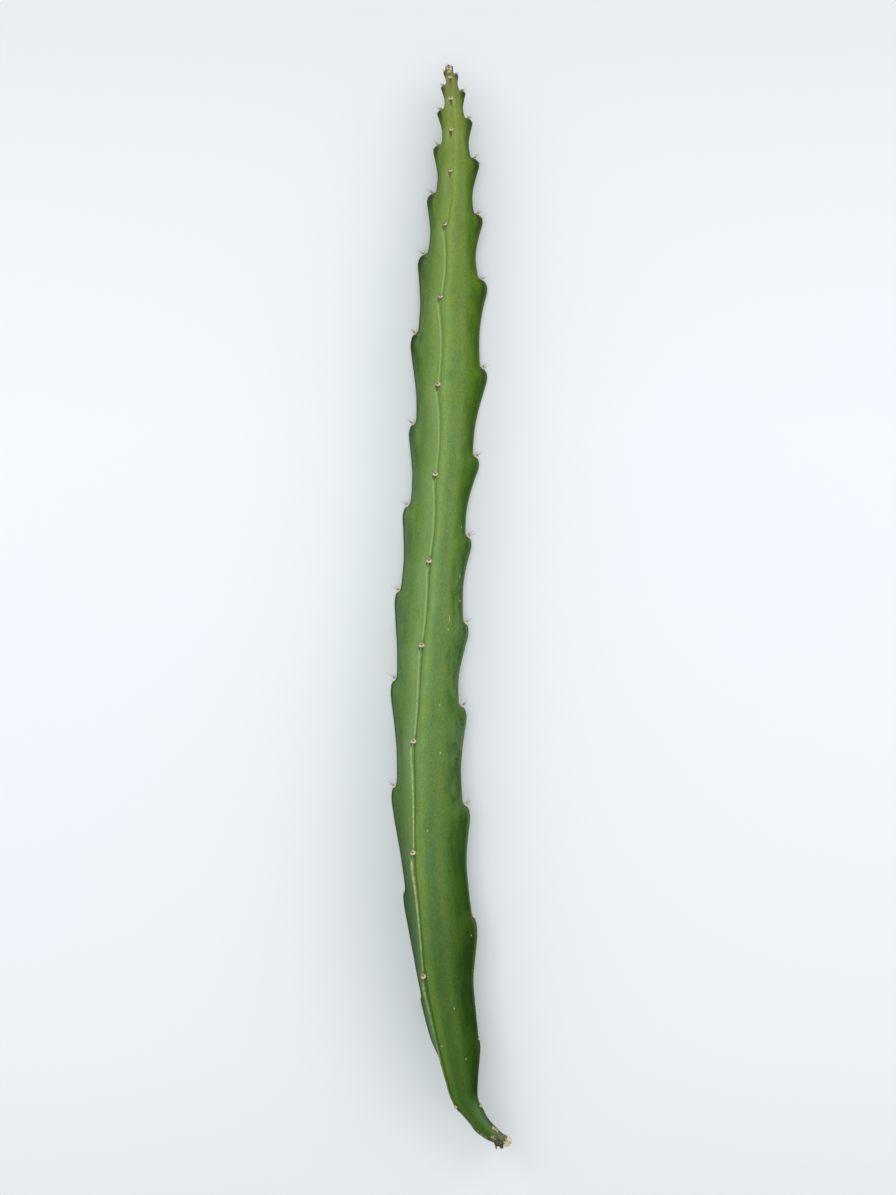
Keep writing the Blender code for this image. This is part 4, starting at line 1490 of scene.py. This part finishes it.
def shade_margins(tree, skin, colour):
    """Dark shoulders below the areoles of the side ribs, almost black on young lobes, the ribs' rims, and a
    painted reflection on old rims.
    """
    old = skin.part("grown margins")
    young = 1.0 - old
    colour = tree.tint(skin.round("young band") * young, colour, YOUNG_BAND)
    spread = tree.mask("shoulder's start", skin.lobe) * tree.mask("shoulder's end", skin.lobe)
    spread = 0.5 + spread * 0.5
    gap = skin.rim - (SHOULDER_REACH + skin.room * spread * SHOULDER_REACH_SHARE)
    edge = gap / (SHOULDER_EDGE + skin.room * SHOULDER_EDGE_SHARE)
    edge = edge + (skin.clouds + skin.blotches - 1.0) * SHOULDER_CLOUDS
    shoulder = tree.mask("shoulder", edge) * skin.side_rib * skin.part("above the neck")
    shade = tree.mix(skin.round("right shoulders"), LEFT_SHOULDER, RIGHT_SHOULDER)
    shade = tree.mix(old, YOUNG_SHOULDER, shade)
    colour = tree.tint(shoulder * COVER["shoulder"], colour, shade)
    corner = tree.mask("corner's end", skin.lobe) * tree.mask("corner", skin.rim) * skin.side_rib
    corner = corner * tree.mask("corner's start", skin.below) * young
    colour = tree.paint(corner * COVER["young corner"], colour, YOUNG_CORNER)
    margin = tree.mask("margin", skin.rim) * skin.side_rib
    colour = tree.tint(margin * COVER["margin"], colour, MARGIN_SHADE)
    young_rim = tree.mask("young rim", skin.rim) * skin.side_rib * young
    colour = tree.paint(young_rim * COVER["young rim"], colour, YOUNG_RIM)
    # Painted reflection along the rims of the grown side ribs
    old_rim_reflection = tree.mask("old rim reflection", skin.rim) * skin.side_rib * old
    return tree.paint(old_rim_reflection * COVER["old rim reflection"], colour, OLD_RIM_REFLECTION)


def draw_crests(tree, skin, colour):
    """The crests' pale and dark lines, their corky bits, and the scar under each areole."""
    drawn = skin.part("drawn crests")
    old = skin.part("old crests")
    pale_green = tree.mix(skin.part("base crests"), screen(PALE_CREST), screen(BASE_CREST))
    broad = skin.line("broad pale") * (COVER["broad pale"] + old * COVER["broad pale's gain"])
    pale = broad.math("MAXIMUM", skin.line("narrow pale") * COVER["narrow pale"])
    colour = tree.mix(pale * drawn * (1.0 - skin.side_rib * COVER["pale's loss"]), colour, pale_green)
    cork = tree.mask("crest cork", tree.grain("crest cork", skin.unrolled)) * skin.line("cork") * drawn
    cork = cork * skin.part("corky crests") * (1.0 - skin.part("less corky crests") * COVER["cork's loss"])
    colour = tree.paint(cork * COVER["cork"], colour, CORKY_CREST)
    dark = skin.line("dark") * (COVER["dark"] + old * COVER["dark's gain"])
    old_lines = {
        "inner dark": skin.line("inner dark") * tree.mask("inner dark", skin.below),
        "dark pair": tree.near(skin.band, *DARK_PAIR) * tree.mask("dark pair", skin.below),
        "dark cap": tree.mask("dark cap", skin.above) * tree.mask("dark cap's side", skin.band),
    }
    for name, line in old_lines.items():
        dark = dark.math("MAXIMUM", line * old * COVER[name])
    colour = tree.tint(dark * drawn, colour, CREST_SHADE)
    wedge = tree.mask("scar", skin.band + skin.below * SCAR_TAPER) * tree.mask("scar's start", skin.below)
    wedge = wedge * (1.0 - old * tree.near(skin.band, *SCAR_MIDDLE) * COVER["scar's loss"])
    tail = skin.line("scar's tail") * tree.mask("scar's tail", skin.below)
    tail = tail * (1.0 - old) * COVER["scar's tail"]
    scar = tree.mix(skin.part("old scars"), screen(SCAR), screen(OLD_SCAR))
    return tree.mix(wedge.math("MAXIMUM", tail) * COVER["scar"], colour, scar), wedge


def speck_mask(tree, skin):
    """Pale specks and scratches: those seen from the front, and random ones all round."""
    groups = tree.mask("speck groups", tree.grain("speck groups", skin.unrolled))
    mask = tree.mask("random specks", tree.cells(skin.unrolled, SPECK_ROOM)) * groups
    scratches = tree.cells(skin.drawn_out(SCRATCH_SHARE), SCRATCH_ROOM)
    mask = mask.math("MAXIMUM", tree.mask("random scratches", scratches) * groups)
    for turn, station, half_width, half_length in SPECKS:
        angle = turn * math.tau / 3
        share = half_width / half_length
        centre = (math.cos(angle) * UNROLLED_RADIUS, math.sin(angle) * UNROLLED_RADIUS, station * share)
        gap = tree.distance(skin.drawn_out(share), centre)
        mask = mask.math("MAXIMUM", tree.fade(gap, *(half_width * edge for edge in SPECK_EDGE)))
    return mask


def skin_material():
    """Waxy green skin with all its markings, and corky towards the cut."""
    material, tree = material_tree("waxy_green_skin")
    skin = SkinMap(tree)
    colour = shade_margins(tree, skin, face_colour(tree, skin))
    colour, scar = draw_crests(tree, skin, colour)
    specks = speck_mask(tree, skin)
    colour = tree.paint(specks * COVER["specks"], colour, SPECK)
    bloom = tree.mask("bloom", skin.fine_clouds * 0.5 + skin.blotches * 0.5)
    bloom = bloom * skin.part("bloom") * skin.round("bloom")
    colour = tree.paint(bloom * COVER["bloom"], colour, BLOOM)
    bark = tree.fade(skin.station + (skin.clouds - 0.5) * BARK_CLOUDS, *BARK_STATIONS)
    bark_colour = tree.screen_ramp(tree.grain("bark", skin.unrolled), NECK_BARK)
    colour = tree.mix(bark * COVER["bark"], colour, bark_colour)

    height = (
        skin.clouds * SKIN_RELIEF["clouds"]
        + skin.fine_clouds * SKIN_RELIEF["fine clouds"]
        + skin.streaks * SKIN_RELIEF["streaks"]
        + tree.grain("pores") * SKIN_RELIEF["pores"]
        - specks * SKIN_RELIEF["specks"]
        + bark * tree.grain("bark's relief") * SKIN_RELIEF["bark"]
    )
    roughness = SKIN_ROUGHNESS + (skin.fine_clouds - 0.5) * ROUGHER["fine clouds"]
    roughness = roughness + bark * ROUGHER["bark"] + bloom * ROUGHER["bloom"] + scar * ROUGHER["scar"]
    finish_material(tree, colour, roughness, SKIN_SHINE, height)
    return material


def wool_material():
    """Felted plant hair, cream, and brown where it is warm."""
    material, tree = material_tree("areole_felt")
    warm = tree.point_value("warm") + (tree.grain("wool's browns") - 0.5) * WANDER["wool"]
    tufts = tree.grain("wool")
    colour = tree.screen_ramp(warm, WOOL_COLOURS)
    colour = tree.tint(tree.mask("wool's hollows", tufts) * COVER["wool's hollows"], colour, WOOL_SHADE)
    finish_plainly(tree, colour, tufts, WOOL_FINISH)
    return material


def spine_material():
    """Dry satin spines, brown at the foot and paler, with a dark point."""
    material, tree = material_tree("dry_spine")
    rise = tree.point_value("rise") + (tree.grain("spine's browns") - 0.5) * WANDER["spine"]
    grain = tree.grain("spine")
    colour = tree.screen_ramp(rise, SPINE_COLOURS)
    colour = tree.tint(tree.mask("spine's grain", grain) * COVER["spine's grain"], colour, SPINE_SHADE)
    finish_plainly(tree, colour, grain, SPINE_FINISH)
    return material


def leaf_material():
    """Dry brown scale leaves and teeth, darker towards the point, with veins along them."""
    material, tree = material_tree("dry_scale_leaf")
    grain = tree.grain("leaf", tree.place(VEIN_STRETCH))
    rise = tree.point_value("rise") + (grain - 0.5) * WANDER["leaf"]
    colour = tree.screen_ramp(rise, LEAF_COLOURS)
    finish_plainly(tree, colour, grain, LEAF_FINISH)
    return material


def cork_material():
    """Rough dry cork, from a pale granular callus to a dark dry end by its tone."""
    material, tree = material_tree("dry_cork")
    grain = tree.grain("cork")
    patches = (tree.grain("cork's patches") - CORK_PATCH_MIDDLE) * WANDER["cork's patches"]
    tone = tree.point_value("tone") / 2.0 + (grain - 0.5) * WANDER["cork"] + patches
    pits = tree.cells(tree.place(), CORK_PIT_ROOM)
    colour = tree.screen_ramp(tone, CORK_COLOURS, 2.0)
    colour = tree.tint(tree.mask("cork's pits", pits) * COVER["cork's pits"], colour, CORK_SHADE)
    finish_plainly(tree, colour, grain, CORK_FINISH, pits * CORK_PIT_DEPTH)
    return material


def floor_material():
    """A plain, pale, matt board, faintly uneven, dimmed by a painted falloff of the light towards both ends.
    """
    material, tree = material_tree("pale_board")
    colour = tree.mix(tree.grain("floor's clouds"), FLOOR_COOL, FLOOR_WARM)
    # Painted falloff of the light along the board
    along = tree.parts(tree.place())[1] / FLOOR_LENGTH + 0.5
    falloff_greys = [(share, (grey, grey, grey)) for share, grey in FLOOR_PAINTED_FALLOFF]
    colour = tree.tint(1.0, colour, tree.ramp(along, falloff_greys))
    finish_plainly(tree, colour, tree.grain("floor"), FLOOR_FINISH)
    return material


def set_stage():
    """The floor under the stem, the soft light and the camera straight above."""
    floor = Shape()
    corners = [(-1, -1, 0), (1, -1, 0), (1, 1, 0), (-1, 1, 0)]
    floor.add(np.array(corners, float) * FLOOR_REACH - (0.0, 0.0, FLOOR_DEPTH), [(0, 1, 2, 3)])
    floor.build("floor", floor_material())

    scene = bpy.context.scene
    scene.view_settings.view_transform = "Standard"
    world = bpy.data.worlds.new("studio")
    scene.world = world
    world.use_nodes = True
    background = world.node_tree.nodes["Background"]
    background.inputs["Color"].default_value = SKY_COLOUR
    background.inputs["Strength"].default_value = SKY_STRENGTH

    for name, place, size, power, colour in LIGHTS:
        light = bpy.data.lights.new(name, "AREA")
        light.shape = "SQUARE"
        light.size = size
        light.energy = power
        light.color = colour
        lamp = bpy.data.objects.new(name, light)
        lamp.location = place
        lamp.rotation_euler = (-Vector(place)).to_track_quat("-Z", "Y").to_euler()
        scene.collection.objects.link(lamp)

    lens = bpy.data.cameras.new("camera")
    lens.sensor_width = SENSOR
    lens.lens = SENSOR * CAMERA_HEIGHT / (FRAME_HEIGHT * PIXEL)
    lens.clip_start, lens.clip_end = CAMERA_CLIP
    camera = bpy.data.objects.new("camera", lens)
    across = (FRAME_WIDTH / 2 - TIP_X) * PIXEL
    along = (FRAME_HEIGHT / 2 - TIP_Y) * PIXEL
    camera.location = Vector(to_frame(along, across, CAMERA_HEIGHT + MIDDLE_HEIGHT)) * MM
    scene.collection.objects.link(camera)
    scene.camera = camera


def make_plant():
    stem = Stem()
    areoles = areole_places(stem)
    wool, leaf, cork = wool_material(), leaf_material(), cork_material()
    spine_nodes, leaf_nodes = spike_tree(spine_material()), spike_tree(leaf)

    skin = make_skin(stem, skin_material())
    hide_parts("stem")
    slots = (
        (skin, "cactus_skin"),
        (make_wool(areoles, wool), "areole_wool"),
        (make_crown(wool), "areole_wool"),
        (make_spikes("spines", spine_list(areoles), spine_nodes, SPINE_VALUES), "spine"),
        (make_spikes("scale_leaves", leaf_list(areoles), leaf_nodes, LEAF_VALUES), "cork"),
        (make_spikes("tip_teeth", tooth_list(), leaf_nodes, LEAF_VALUES), "cork"),
        (make_knob(cork), "cork"),
        (make_base_bark(stem, cork), "cork"),
    )
    for piece, slot in slots:
        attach(piece, "root")


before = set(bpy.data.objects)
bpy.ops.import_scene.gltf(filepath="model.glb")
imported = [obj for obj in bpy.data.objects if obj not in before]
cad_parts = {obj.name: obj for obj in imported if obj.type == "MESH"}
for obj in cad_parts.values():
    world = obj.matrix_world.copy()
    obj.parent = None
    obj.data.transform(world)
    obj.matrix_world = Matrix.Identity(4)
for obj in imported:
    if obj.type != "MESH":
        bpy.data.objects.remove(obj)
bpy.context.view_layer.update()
make_plant()
set_stage()
